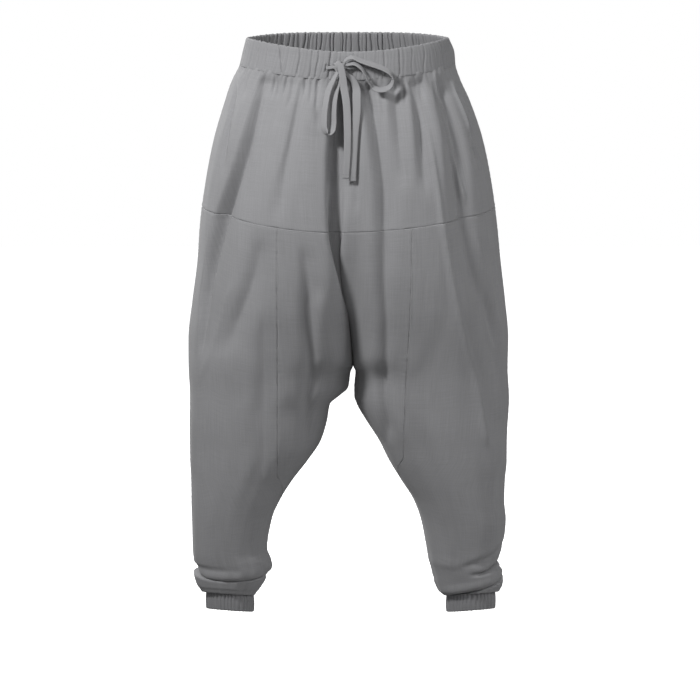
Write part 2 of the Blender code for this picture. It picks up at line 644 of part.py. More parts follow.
def yoke_grid(side, face):
    """Half of a yoke: even columns at the gathers, the columns of the panels at the seam."""
    seam = seam_u(side, FRONT, YOKE_BACK) if face == FRONT else 1 - seam_u(side, BACK, YOKE_BACK)
    gap = half_gap(side, face, YOKE_SIDE)
    even = spread(0, 0.5 - gap, CENTRE_COLUMNS + OUTER_COLUMNS)
    sewn = np.concatenate([spread(0, seam, CENTRE_COLUMNS), spread(seam, 0.5 - gap, OUTER_COLUMNS)[1:]])
    shares = np.array(YOKE_ROWS)[:, None]
    u = mix(even, sewn, shares ** 2)
    u = u if face == FRONT else 1 - u
    z = mix(band_bottom(u) - SEAM_GAP, yoke_seam(u) + SEAM_GAP / 2, shares)
    return (side, u, z) if face == FRONT else (side, u[:, ::-1], z[:, ::-1])


def panel_grid(side, face, start, end, levels, columns):
    """A grid between two lines of u, given for each level; the back runs the other way round."""
    u = np.array([spread(a, b, columns) for a, b in zip(start, end)])
    u = u if face == FRONT else 1 - u[:, ::-1]
    z = np.array([leg_heights(side, level, row) for level, row in zip(levels, u)])
    return u, z


def seam_shares(side, face, levels):
    """Distance in u of a vertical seam from the centre, at each level."""
    lines = np.array([seam_u(side, face, level) for level in levels])
    return lines if face == FRONT else 1 - lines


def add_centre_panel(name, face):
    """The inverted V: both halves share the centre down to the crotch and part below it."""
    grids = []
    for side in (RIGHT, LEFT):
        levels = leg_levels(side)[:TIP_ROW + 1]
        gap = half_gap(side, face, levels)
        start = np.where(np.arange(len(levels)) > CROTCH_ROW, gap, 0.0)
        end = np.maximum(seam_shares(side, face, levels) - gap, start)
        u, z = panel_grid(side, face, start, end, levels, CENTRE_COLUMNS)
        z[0] -= SEAM_GAP / 2
        z[-1] += TIP_CLEARANCE
        grids.append((side, u, z))

    def part_front_from_back(side, points):
        edge = points[:, 0] if face == FRONT else points[:, -1]
        edge[CROTCH_ROW, 1] += -SEAM_GAP / 2 if face == FRONT else SEAM_GAP / 2

    add_wall(name, grids, CLOTH, cloth_relief, finish=part_front_from_back)


def add_outer_panel(name, side, face):
    """From the vertical seam to the side seam, and below the gusset tip from the inseam."""
    levels = leg_levels(side)
    gap = half_gap(side, face, levels)
    start = seam_shares(side, face, levels) + gap
    u, z = panel_grid(side, face, start, 0.5 - gap, levels, OUTER_COLUMNS)
    z[0] -= SEAM_GAP / 2

    def stand_on_cuff(side, points):
        points[-1, :, 2] = cuff_plane(side, points[-1, :, 0], points[-1, :, 1]) + SEAM_GAP

    add_wall(name, [(side, u, z)], CLOTH, cloth_relief, finish=stand_on_cuff)


def add_cuff(name, side):
    u = np.tile(spread(0, 1, CUFF_GATHERS * COLUMNS_PER_GATHER), (2, 1))
    z = np.stack([cuff_edge(side, u[0]), cuff_edge(side, u[0]) - CUFF_HEIGHT])

    def cut_level(side, points):
        edge = cuff_plane(side, points[..., 0], points[..., 1])
        points[0, :, 2] = edge[0]
        points[1, :, 2] = edge[1] - CUFF_HEIGHT

    add_wall(name, [(side, u, z)], ELASTIC, cuff_relief, level=True, finish=cut_level)


# ---------------------------------------------------------------- drawstring


def plain_front(x, z):
    """y of the plain front at a place of the trousers."""
    side = LEFT if x > float(np.interp(z, HEIGHTS, CENTRE_X)) else RIGHT
    u = u_at(side, FRONT, x, z)
    return float(base(np.array(side), np.array(u), np.array(z))[1])


def cloth_front(x, z):
    """y of what a tape lies on: the front-most cloth within its reach."""
    return min(plain_front(x + reach, z) for reach in (-TAPE_WIDTH, 0, TAPE_WIDTH))


def strand_path(rows):
    """Even points of a smooth curve through a strand's places, and the spread at each."""
    control = np.array([(x, cloth_front(x, z) - lift, z, spread) for x, z, lift, spread in rows])
    steps = np.linalg.norm(np.diff(control[:, :3], axis=0), axis=1)
    place = np.concatenate([[0.0], np.cumsum(steps)])
    tangents = np.gradient(control, place, axis=0)
    even = np.linspace(0, place[-1], max(4, int(round(place[-1] / TAPE_STEP)) + 1))
    return np.stack([hermite(place, control[:, k], tangents[:, k], even) for k in range(4)], axis=1)


def add_strand(name, strand):
    """A flat tape: a rectangle carried along the path."""
    path = strand_path(strand.rows)
    centre, width = path[:, :3], TAPE_WIDTH * path[:, 3]
    along = np.gradient(centre, axis=0)
    along /= np.linalg.norm(along, axis=1, keepdims=True)
    across = np.array(strand.across) - along * (along @ np.array(strand.across))[:, None]
    across /= np.linalg.norm(across, axis=1, keepdims=True)
    face = np.cross(along, across)
    corners = [(-1, -1), (1, -1), (1, 1), (-1, 1)]
    rings = [centre + a * across * width[:, None] / 2 + b * face * TAPE_THICK / 2 for a, b in corners]
    vertices = np.stack(rings, axis=1).reshape(-1, 3)
    faces = [(3, 2, 1, 0), tuple(len(vertices) - 4 + corner for corner in range(4))]
    for ring in range(len(centre) - 1):
        for k in range(4):
            a, b = 4 * ring + k, 4 * ring + (k + 1) % 4
            faces.append((a, b, b + 4, a + 4))
    add_object(name, vertices, faces, TAPE_COLOUR)


def add_knot():
    """The bow's knot, a pressed ball."""
    rings, segments = KNOT_RINGS, KNOT_SEGMENTS
    middle = np.array([KNOT_X, cloth_front(KNOT_X, KNOT_Z) - KNOT_LIFT, KNOT_Z])
    vertices = [middle + np.array([0, 0, KNOT_SIZE[2]])]
    for ring in range(1, rings):
        fall = np.pi * ring / rings
        for k in range(segments):
            turn = 2 * np.pi * k / segments
            unit = np.array([np.sin(fall) * np.cos(turn), np.sin(fall) * np.sin(turn), np.cos(fall)])
            vertices.append(middle + unit * KNOT_SIZE)
    vertices.append(middle - np.array([0, 0, KNOT_SIZE[2]]))
    last = len(vertices) - 1
    faces = []
    for k in range(segments):
        after = (k + 1) % segments
        faces.append((0, 1 + k, 1 + after))
        faces.append((last, last - segments + after, last - segments + k))
        for ring in range(rings - 2):
            a = 1 + ring * segments
            faces.append((a + k, a + segments + k, a + segments + after, a + after))
    add_object("drawstring_knot", vertices, faces, TAPE_COLOUR)


# ---------------------------------------------------------------- the whole garment


def main():
    for item in list(bpy.data.objects):
        bpy.data.objects.remove(item, do_unlink=True)
    root = bpy.data.objects.new("trousers", None)
    bpy.context.scene.collection.objects.link(root)

    add_waistband()
    add_wall("yoke_front", [yoke_grid(RIGHT, FRONT), yoke_grid(LEFT, FRONT)], CLOTH, cloth_relief)
    add_wall("yoke_back", [yoke_grid(RIGHT, BACK), yoke_grid(LEFT, BACK)], CLOTH, cloth_relief)
    add_centre_panel("centre_panel_front", FRONT)
    add_centre_panel("centre_panel_back", BACK)
    for side, word in ((RIGHT, "right"), (LEFT, "left")):
        add_outer_panel("leg_front_" + word, side, FRONT)
        add_outer_panel("leg_back_" + word, side, BACK)
        add_cuff("cuff_" + word, side)
    for name, strand in STRANDS.items():
        add_strand(name, strand)
    add_knot()


main()
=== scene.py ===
# %% [markdown]
# # Drop-crotch harem trousers, filled out as worn
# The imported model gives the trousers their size, their cut pieces and their place. This lesson
# lays fine cloth over those solids: gathers under an elastic waist, long folds down the legs,
# creases at the ankles, sewn seams and a tied drawstring. The frame is loaded first, and its
# box is kept, because the finished cloth has to fill the same room as the solids do.

# %% Load the frame
from collections import namedtuple

import bmesh
import bpy
import numpy as np
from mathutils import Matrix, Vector


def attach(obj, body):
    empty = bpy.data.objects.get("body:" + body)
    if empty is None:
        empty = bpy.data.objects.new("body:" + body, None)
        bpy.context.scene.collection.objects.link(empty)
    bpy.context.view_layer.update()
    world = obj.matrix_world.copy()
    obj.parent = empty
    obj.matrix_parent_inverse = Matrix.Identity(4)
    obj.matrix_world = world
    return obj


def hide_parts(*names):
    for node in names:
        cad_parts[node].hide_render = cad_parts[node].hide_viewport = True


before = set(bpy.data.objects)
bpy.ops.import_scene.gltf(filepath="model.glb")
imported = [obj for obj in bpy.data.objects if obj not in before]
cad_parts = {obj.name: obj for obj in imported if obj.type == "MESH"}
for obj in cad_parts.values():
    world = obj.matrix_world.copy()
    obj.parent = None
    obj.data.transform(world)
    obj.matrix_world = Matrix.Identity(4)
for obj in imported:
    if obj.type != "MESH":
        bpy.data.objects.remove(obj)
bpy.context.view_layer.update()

# %% [markdown]
# ## Camera
# A garment on a ghost form is pictured from straight ahead, a little above its middle, with a
# long lens so that the legs keep their proportions.

# %% Camera
CAMERA_AT, CAMERA_AIM = Vector((0.0, -5.0, 0.10)), Vector((0.0, 0.0, -0.483))
LENS, SENSOR = 156.9, 36.0


def add_object(name, data):
    """A new object in the scene."""
    thing = bpy.data.objects.new(name, data)
    bpy.context.scene.collection.objects.link(thing)
    return thing


def aim_at(thing, place, aim):
    """Puts a camera or a lamp at a place and turns it to what it looks at."""
    thing.location = place
    thing.rotation_euler = (Vector(aim) - Vector(place)).to_track_quat("-Z", "Y").to_euler()


def add_camera():
    data = bpy.data.cameras.new("camera")
    data.lens, data.sensor_width = LENS, SENSOR
    camera = add_object("camera", data)
    aim_at(camera, CAMERA_AT, CAMERA_AIM)
    bpy.context.scene.camera = camera


add_camera()
print("camera at", tuple(CAMERA_AT), "with a", LENS, "mm lens")

# %% [markdown]
# ## Curves through tables
# The cut of a garment is read off at a few heights. A smooth curve through such a table must
# never swing past its values, or a waist would get a bulge that nobody drew. Cubic pieces with
# harmonic slopes do that, and the same small function serves sections, seams and folds.

# %% Curves through tables
def hermite(places, values, tangents, at):
    """Cubic curve through (places, values) with the given tangents, held flat past its ends."""
    step = np.diff(places)
    k = np.clip(np.searchsorted(places, at, side="right") - 1, 0, len(step) - 1)
    t = np.clip((at - places[k]) / step[k], 0.0, 1.0)
    start = (1 + 2 * t) * (1 - t) ** 2 * values[k] + t * (1 - t) ** 2 * step[k] * tangents[k]
    end = t * t * (3 - 2 * t) * values[k + 1] + t * t * (t - 1) * step[k] * tangents[k + 1]
    return start + end


def smooth(places, values, at):
    """Curve through a table that never swings past its values; the places may run either way."""
    places, values = np.asarray(places, float), np.asarray(values, float)
    if places[0] > places[-1]:
        places, values = places[::-1], values[::-1]
    slope = np.diff(values) / np.diff(places)
    before, after = slope[:-1], slope[1:]
    turning = before * after <= 0
    total = np.where(turning, 1.0, before + after)
    inner = np.where(turning, 0.0, 2 * before * after / total)
    tangents = np.concatenate([slope[:1], inner, slope[-1:]])
    return hermite(places, values, tangents, np.asarray(at, float))


def ease(share):
    """0 below 0, 1 above 1 and a soft step between."""
    share = np.clip(share, 0.0, 1.0)
    return share * share * (3 - 2 * share)


def mix(start, end, share):
    return start + (end - start) * share


# %% [markdown]
# ## The body of the trousers
# All cloth lies on one surface, which is given by level sections from the waist to the ankles.
# Each side has its own half section, an oval with its highest place near the centre at the
# waist and in its middle further down, where it has become a leg. The table is the same as in
# the solid model. The sampling is finer, and the hollow between the legs turns in more sharply.
# A place is a side, a height z, and u, which goes from the centre front (0) round the side seam
# (0.5) to the centre back (1).

# %% Sections
RIGHT, LEFT, CENTRE = 0, 1, 2
SIGN = np.array([-1.0, 1.0])
FRONT, BACK = 0, 1
CROTCH = -0.509
CLEFT_FRONT, CLEFT_BACK, CLEFT_POWER = -0.04, -0.16, 2.0
CLEFT_WRAP, CLEFT_CORNER, CORNER_END = (0.5, 0.5), (0.55, 0.6), 0.75
ROUNDNESS = 2.2
Section = namedtuple(
    "Section", "z right_out right_in left_in left_out front back right_apex left_apex")
SECTIONS = [
    #        z    right_out right_in left_in left_out front  back right_apex left_apex
    Section(0.060, -0.162, 0.000, 0.000, 0.156, -0.112, 0.109, 0.12, 0.12),
    Section(0.030, -0.168, 0.000, 0.000, 0.160, -0.114, 0.113, 0.12, 0.12),
    Section(0.008, -0.173, 0.000, 0.000, 0.168, -0.115, 0.117, 0.12, 0.12),
    Section(-0.014, -0.179, -0.002, -0.002, 0.171, -0.118, 0.121, 0.12, 0.12),
    Section(-0.040, -0.193, -0.005, -0.005, 0.181, -0.122, 0.130, 0.12, 0.14),
    Section(-0.072, -0.204, -0.010, -0.010, 0.196, -0.134, 0.142, 0.12, 0.20),
    Section(-0.137, -0.223, -0.016, -0.016, 0.218, -0.147, 0.158, 0.13, 0.28),
    Section(-0.202, -0.236, -0.017, -0.017, 0.231, -0.153, 0.168, 0.13, 0.32),
    Section(-0.268, -0.245, -0.016, -0.016, 0.240, -0.155, 0.172, 0.13, 0.34),
    Section(-0.334, -0.250, -0.010, -0.010, 0.247, -0.150, 0.167, 0.15, 0.37),
    Section(-0.400, -0.259, -0.004, -0.004, 0.255, -0.138, 0.154, 0.21, 0.41),
    Section(-0.466, -0.266, 0.002, 0.002, 0.261, -0.119, 0.132, 0.34, 0.46),
    Section(-0.509, -0.266, 0.005, 0.005, 0.260, -0.107, 0.118, 0.50, 0.50),
    Section(-0.519, -0.266, 0.001, 0.009, 0.260, -0.105, 0.115, 0.50, 0.50),
    Section(-0.545, -0.264, -0.003, 0.007, 0.262, -0.101, 0.110, 0.50, 0.50),
    Section(-0.558, -0.264, -0.017, 0.007, 0.263, -0.099, 0.108, 0.50, 0.50),
    Section(-0.572, -0.264, -0.033, 0.011, 0.263, -0.097, 0.107, 0.50, 0.50),
    Section(-0.600, -0.265, -0.038, 0.027, 0.261, -0.094, 0.104, 0.50, 0.50),
    Section(-0.633, -0.265, -0.048, 0.048, 0.260, -0.089, 0.102, 0.50, 0.50),
    Section(-0.667, -0.265, -0.070, 0.065, 0.260, -0.084, 0.100, 0.50, 0.50),
    Section(-0.700, -0.264, -0.095, 0.085, 0.257, -0.078, 0.098, 0.50, 0.50),
    Section(-0.734, -0.264, -0.116, 0.106, 0.256, -0.071, 0.095, 0.50, 0.50),
    Section(-0.767, -0.263, -0.130, 0.118, 0.259, -0.064, 0.091, 0.50, 0.50),
    Section(-0.818, -0.262, -0.138, 0.128, 0.252, -0.053, 0.084, 0.50, 0.50),
    Section(-0.836, -0.260, -0.132, 0.131, 0.244, -0.049, 0.081, 0.50, 0.50),
    Section(-0.846, -0.253, -0.131, 0.134, 0.251, -0.046, 0.079, 0.50, 0.50),
    Section(-0.857, -0.261, -0.135, 0.137, 0.254, -0.043, 0.077, 0.50, 0.50),
    Section(-0.872, -0.258, -0.142, 0.140, 0.255, -0.038, 0.074, 0.50, 0.50),
    Section(-0.889, -0.249, -0.153, 0.148, 0.251, -0.032, 0.071, 0.50, 0.50),
    Section(-0.900, -0.241, -0.160, 0.160, 0.243, -0.026, 0.066, 0.50, 0.50),
    Section(-0.940, -0.239, -0.165, 0.166, 0.242, -0.026, 0.066, 0.50, 0.50),
]
TABLE_TOP, TABLE_BOTTOM = 0.060, -0.940
BELOW_ROWS, ABOVE_ROWS = 240, 300         # of the table, under and over the crotch
HALF_SAMPLES = 361
SOFTEN_STEP, SOFTEN_REACH = 0.001, 0.012  # heights over which neighbouring sections are blended
SOFTEN_START = 0.10                       # full at this u from the inner edge
SOFTEN_MIDDLE, SOFTEN_HALF = -0.540, 0.080
QUARTER = np.linspace(0, 1, 140)


def table_heights():
    """Heights of the table, close together just above the crotch, where the centre turns under."""
    below = np.linspace(TABLE_BOTTOM, CROTCH, BELOW_ROWS, endpoint=False)
    above = CROTCH + (TABLE_TOP - CROTCH) * np.linspace(0, 1, ABOVE_ROWS) ** 2
    return np.concatenate([below, above])


HEIGHTS = table_heights()
SECTION_Z = [row.z for row in SECTIONS]
COLUMN = {name: smooth(SECTION_Z, [getattr(row, name) for row in SECTIONS], HEIGHTS)
          for name in Section._fields[1:]}
# both sides share the centre line down to the crotch
CENTRE_X = (COLUMN["right_in"] + COLUMN["left_in"]) / 2
for name in ("right_in", "left_in"):
    COLUMN[name] = np.where(HEIGHTS < CROTCH, COLUMN[name], CENTRE_X)


def half_loop(inner, outer, inner_y, face_y, side_y, apex, wrap, corner):
    """One side's front or back half of a section, evenly spaced from its inner edge to its side."""
    apex_x = mix(inner, outer, apex)
    turn = np.pi / 2 * QUARTER[::-1]
    along = mix(QUARTER[::-1], np.sin(turn) ** corner, wrap)
    fall = mix((1 - np.cos(2 * turn)) / 2, 1 - np.abs(np.cos(turn)) ** corner, wrap)
    power = 2 / ROUNDNESS
    turn = np.pi / 2 * QUARTER[1:]
    x = np.concatenate([mix(apex_x, inner, along), mix(apex_x, outer, np.sin(turn) ** power)])
    y = np.concatenate([mix(face_y, inner_y, fall), mix(side_y, face_y, np.abs(np.cos(turn)) ** power)])
    length = np.concatenate([[0.0], np.cumsum(np.hypot(np.diff(x), np.diff(y)))])
    even = np.linspace(0, length[-1], HALF_SAMPLES)
    return np.interp(even, length, x), np.interp(even, length, y), length[-1]


def recess(start, z):
    """How far the centre has fallen in, from 0 to 1 at the crotch, as a quarter of an ellipse."""
    share = np.clip((start - z) / (start - CROTCH), 0.0, 1.0)
    return 1 - np.sqrt(1 - share ** CLEFT_POWER)


def build_tables():
    """Points of every section, for both sides, and the length of each front and back half."""
    points = np.zeros((2, len(HEIGHTS), 2 * HALF_SAMPLES - 1, 2))
    lengths = np.zeros((2, 2, len(HEIGHTS)))
    for side, word in ((RIGHT, "right"), (LEFT, "left")):
        for k, z in enumerate(HEIGHTS):
            inner, outer = COLUMN[word + "_in"][k], COLUMN[word + "_out"][k]
            faces = (COLUMN["front"][k], COLUMN["back"][k])
            side_y = sum(faces) / 2
            for face, start in ((FRONT, CLEFT_FRONT), (BACK, CLEFT_BACK)):
                fall = recess(start, z)
                inner_y = mix(faces[face], side_y, fall)
                opened = ease((fall - CORNER_END) / (1 - CORNER_END))
                corner = mix(CLEFT_CORNER[side], 1.0, opened)
                apex, wrap = COLUMN[word + "_apex"][k], fall ** CLEFT_WRAP[side]
                x, y, length = half_loop(inner, outer, inner_y, faces[face], side_y,
                                         apex, wrap, corner)
                half = np.stack([x, y], axis=1)
                if face == FRONT:
                    points[side, k, :HALF_SAMPLES] = half
                else:
                    points[side, k, HALF_SAMPLES - 1:] = half[::-1]
                lengths[side, face, k] = length
    return points, lengths


def soften(points):
    """Rounds the sections into one another round the crotch, except at the inner edge."""
    even = np.arange(TABLE_BOTTOM, TABLE_TOP, SOFTEN_STEP)
    pad = int(3 * SOFTEN_REACH / SOFTEN_STEP)
    kernel = np.exp(-0.5 * (np.arange(-pad, pad + 1) * SOFTEN_STEP / SOFTEN_REACH) ** 2)
    inner = np.linspace(0, 1, points.shape[2])
    inner = ease(np.minimum(inner, 1 - inner) / SOFTEN_START)[None, :, None]
    local = ease(1.5 - np.abs(HEIGHTS - SOFTEN_MIDDLE) / SOFTEN_HALF)[:, None, None]
    for side in (RIGHT, LEFT):
        flat = points[side].reshape(len(HEIGHTS), -1)
        rows = np.array([np.interp(even, HEIGHTS, column) for column in flat.T])
        rows = np.pad(rows, ((0, 0), (pad, pad)), mode="edge")
        rows = np.array([np.convolve(row, kernel / kernel.sum(), mode="valid") for row in rows])
        soft = np.array([np.interp(HEIGHTS, even, row) for row in rows]).T.reshape(points[side].shape)
        points[side] = mix(points[side], soft, inner * local)
    return points


POINTS, LENGTHS = build_tables()
POINTS = soften(POINTS)
print("section table:", POINTS.shape[1], "heights with", POINTS.shape[2], "places on each side")


# %% Places on the surface
def base(side, u, z):
    """x and y on the plain surface. Past u = 0 or 1 it goes on round the leg or across the centre."""
    outside = (u < 0) | (u > 1)
    below = z < CROTCH
    side = np.where(outside & ~below, 1 - side, side)
    u = np.where(outside, np.where(below, u % 1.0, np.where(u < 0, -u, 2 - u)), u)
    row = np.interp(z, HEIGHTS, np.arange(len(HEIGHTS)))
    column = u * (POINTS.shape[2] - 1)
    r = np.clip(row.astype(int), 0, len(HEIGHTS) - 2)
    c = np.clip(column.astype(int), 0, POINTS.shape[2] - 2)
    v, w = (row - r)[..., None], (column - c)[..., None]
    upper = mix(POINTS[side, r, c], POINTS[side, r, c + 1], w)
    lower = mix(POINTS[side, r + 1, c], POINTS[side, r + 1, c + 1], w)
    return mix(upper, lower, v)


def u_at(side, face, x, z, sunk=0.0):
    """The u of a place that is given by its x, on one side's front or back.

    Where the cloth is pushed in by sunk, that is the x at which it's seen then."""
    row = int(round(float(np.interp(z, HEIGHTS, np.arange(len(HEIGHTS))))))
    along = np.gradient(POINTS[side, row], axis=0)
    out_x = SIGN[side] * along[:, 1] / np.linalg.norm(along, axis=1)
    seen = SIGN[side] * (POINTS[side, row, :, 0] - sunk * out_x)
    seen = seen[:HALF_SAMPLES] if face == FRONT else seen[HALF_SAMPLES - 1:][::-1]
    share = np.interp(SIGN[side] * x, np.maximum.accumulate(seen), np.linspace(0, 0.5, HALF_SAMPLES))
    return share if face == FRONT else 1 - share


def path_u(side, face, heights, places, sunk=0.0):
    """The u of a line down the cloth, at each height of the table."""
    x = smooth(heights, places, HEIGHTS)
    sunk = np.broadcast_to(sunk, HEIGHTS.shape)
    return np.array([u_at(side, face, x[k], z, sunk[k]) for k, z in enumerate(HEIGHTS)])


def by_side(side, at, places, values):
    """Reads each place in the table of its own side."""
    right = np.interp(at, places, values[RIGHT])
    left = np.interp(at, places, values[LEFT])
    return np.where(side == RIGHT, right, left)


def metres_per_u(side, u, z):
    front = 2 * by_side(side, z, HEIGHTS, LENGTHS[:, FRONT])
    back = 2 * by_side(side, z, HEIGHTS, LENGTHS[:, BACK])
    return np.where(u <= 0.5, front, back)


REACH_U = 0.004                           # to either side, for the slope at a place


def level_normal(side, u, z):
    """Level unit direction out of the plain surface."""
    along = base(side, u + REACH_U, z) - base(side, u - REACH_U, z)
    out = SIGN[side][..., None] * np.stack([along[..., 1], -along[..., 0]], axis=-1)
    return out / np.linalg.norm(out, axis=-1, keepdims=True)


# %% [markdown]
# ## Edges and seams
# The waistband dips at the centre front and rises to the back. A yoke joins it to the legs, an
# inverted V of a centre panel runs between them, and each leg closes in a gathered cuff. Every
# seam is a line on the surface, so two neighbouring pieces meet on it by themselves.

# %% Edges and seams
BAND_HEIGHT, BAND_PROUD = 0.0455, 0.0008
RIM_FRONT, RIM_SIDE, RIM_BACK, RIM_FLATNESS = 0.009, 0.030, 0.037, 2.5
YOKE_FRONT, YOKE_SIDE, YOKE_BACK = -0.278, -0.246, -0.262
CUFF_TOP, CUFF_HEIGHT = -0.8945, 0.029
CUFF_X, CUFF_Y, CUFF_TILT, CUFF_ROLL = 0.200, 0.020, 0.176, 0.078
Seam = namedtuple("Seam", "tip heights places")
SEAMS = {
    RIGHT: Seam(-0.738, (-0.200, -0.400, -0.600, -0.710), (-0.116, -0.117, -0.117, -0.118)),
    LEFT: Seam(-0.706, (-0.200, -0.400, -0.560, -0.680), (0.099, 0.097, 0.089, 0.087)),
}
TIP_TAPER = 0.05


def side_share(u):
    return np.sin(np.pi * u) ** 2


def rim_height(u):
    front = mix(RIM_FRONT, RIM_SIDE, side_share(u))
    return np.where(u < 0.5, front, mix(RIM_BACK, RIM_SIDE, side_share(u) ** RIM_FLATNESS))


def band_bottom(u):
    return rim_height(u) - BAND_HEIGHT


def yoke_seam(u):
    return mix(np.where(u < 0.5, YOKE_FRONT, YOKE_BACK), YOKE_SIDE, side_share(u))


def cuff_plane(side, x, y):
    return CUFF_TOP + CUFF_ROLL * (SIGN[side] * x - CUFF_X) - CUFF_TILT * (y - CUFF_Y)


def cuff_edge(side, u):
    place = base(side, u, np.full(np.shape(u), CUFF_TOP))
    return cuff_plane(side, place[..., 0], place[..., 1])


def seam_lines():
    """The u of each vertical seam at each height of the table; 0 or 1 below the gusset tip."""
    lines = {}
    for side, seam in SEAMS.items():
        tip_x = float(np.interp(seam.tip, HEIGHTS, COLUMN[("right", "left")[side] + "_in"]))
        for face in (FRONT, BACK):
            line = path_u(side, face, seam.heights + (seam.tip,), seam.places + (tip_x,))
            taper = np.clip((HEIGHTS - seam.tip) / TIP_TAPER, 0, 1)
            begin = np.interp(seam.tip + TIP_TAPER, HEIGHTS, line)
            lines[side, face] = np.where(taper < 1, mix(face, begin, taper), line)
    return lines


SEAM_LINES = seam_lines()


def seam_u(side, face, level):
    return np.interp(level, HEIGHTS, SEAM_LINES[side, face])


print("seams: yoke at", YOKE_FRONT, "gusset tips at", SEAMS[RIGHT].tip, SEAMS[LEFT].tip)

# %% [markdown]
# ## Turning grids into cloth
# Every cloth piece here is a grid of places: rows run down and columns run round, anticlockwise
# as seen from above, so one rule gives faces that point outwards. The UV map is in metres along
# the cloth. That way the weave keeps its real size on every piece and follows the folds.

# %% Grids into meshes
ONE_CORNER = 0.00002                      # corners closer than this are one corner


def cloth_lengths(points):
    """Metres along the rows, as one value for a column, and down each column."""
    across = np.linalg.norm(np.diff(points, axis=1), axis=2)
    u = np.concatenate([[0.0], np.cumsum(across.mean(axis=0))])
    down = np.linalg.norm(np.diff(points, axis=0), axis=2)
    v = np.concatenate([np.zeros((1, points.shape[1])), np.cumsum(down, axis=0)])
    return np.stack([np.broadcast_to(u, v.shape), -v], axis=-1)


def grid_mesh(name, grids):
    """A mesh of one or more grids of points."""
    vertices, faces, coords, first = [], [], [], 0
    for points in grids:
        rows, columns = points.shape[:2]
        index = first + np.arange(rows * columns).reshape(rows, columns)
        quads = np.stack([index[:-1, :-1], index[1:, :-1], index[1:, 1:], index[:-1, 1:]], axis=-1)
        faces.append(quads.reshape(-1, 4))
        vertices.append(points.reshape(-1, 3))
        coords.append(cloth_lengths(points).reshape(-1, 2))
        first += rows * columns
    vertices, faces, coords = (np.concatenate(rows) for rows in (vertices, faces, coords))
    mesh = bpy.data.meshes.new(name)
    mesh.from_pydata(vertices.tolist(), [], faces.tolist())
    layer = mesh.uv_layers.new(name="UVMap")
    layer.data.foreach_set("uv", coords[faces.reshape(-1)].astype(np.float32).reshape(-1))
    mesh.shade_smooth()
    work = bmesh.new()
    work.from_mesh(mesh)
    bmesh.ops.remove_doubles(work, verts=work.verts, dist=ONE_CORNER)
    work.to_mesh(mesh)
    work.free()
    return mesh


def add_piece(name, mesh, material):
    mesh.materials.clear()
    mesh.materials.append(material)
    return add_object(name, mesh)


# %% [markdown]
# ## Woven cloth
# The cloth is a plain weave of linen and cotton: single threads over and under each other, some
# thicker than others, so the surface is matt with faint slubs along both directions. One node
# group makes colour, roughness and thread height from the UV map in metres. Each material sets
# its own colour and thread count, and keeps its sheen on its own shader.

# %% Weave node group
def new_group(name, inputs, outputs):
    group = bpy.data.node_groups.new(name, "ShaderNodeTree")
    for label, kind, value in inputs:
        socket = group.interface.new_socket(name=label, in_out="INPUT", socket_type=kind)
        socket.default_value = value
    for label, kind in outputs:
        group.interface.new_socket(name=label, in_out="OUTPUT", socket_type=kind)
    return group, group.nodes.new("NodeGroupInput"), group.nodes.new("NodeGroupOutput")


def math_node(group, operation, first, second=None, clamp=False):
    """A Math node; each of its two inputs is a socket or a number."""
    node = group.nodes.new("ShaderNodeMath")
    node.operation, node.use_clamp = operation, clamp
    for slot, value in zip(node.inputs, (first, second)):
        if value is None:
            continue
        if isinstance(value, (int, float)):
            slot.default_value = value
        else:
            group.links.new(value, slot)
    return node.outputs[0]


def slub_noise(group, vector, scale, detail):
    node = group.nodes.new("ShaderNodeTexNoise")
    node.noise_dimensions = "2D"
    node.inputs["Detail"].default_value = detail
    node.inputs["Roughness"].default_value = NOISE_ROUGHNESS
    mapping = group.nodes.new("ShaderNodeMapping")
    mapping.inputs["Scale"].default_value = (*scale, 1.0)
    node.inputs["Scale"].default_value = 1.0
    group.links.new(vector, mapping.inputs["Vector"])
    group.links.new(mapping.outputs[0], node.inputs["Vector"])
    return node.outputs["Fac"]


# scales of the noises in cycles per metre along the two thread directions
LONG_SLUB, CROSS_SLUB, CLOUDS, FIBRES = (650.0, 16.0), (22.0, 800.0), (14.0, 9.0), (2600.0, 2600.0)
LONG_SHARE, CROSS_SHARE, SLUB_GAIN = 0.55, 0.45, 4.0
NOISE_ROUGHNESS, SHEEN_ROUGHNESS, SHINE = 0.55, 0.5, 0.25
CLOUD_SWING, FIBRE_SWING, THREAD_SWING, ROUGH_SWING = 0.10, 0.14, 0.10, 0.4
WEAVE_INPUTS = [
    ("Colour", "NodeSocketColor", (0.26, 0.26, 0.27, 1)),
    ("Threads per Metre", "NodeSocketFloat", 1500),
    ("Slub", "NodeSocketFloat", 0.10),
    ("Roughness", "NodeSocketFloat", 0.9),
]
WEAVE_OUTPUTS = [
    ("Colour", "NodeSocketColor"), ("Roughness", "NodeSocketFloat"), ("Height", "NodeSocketFloat")]


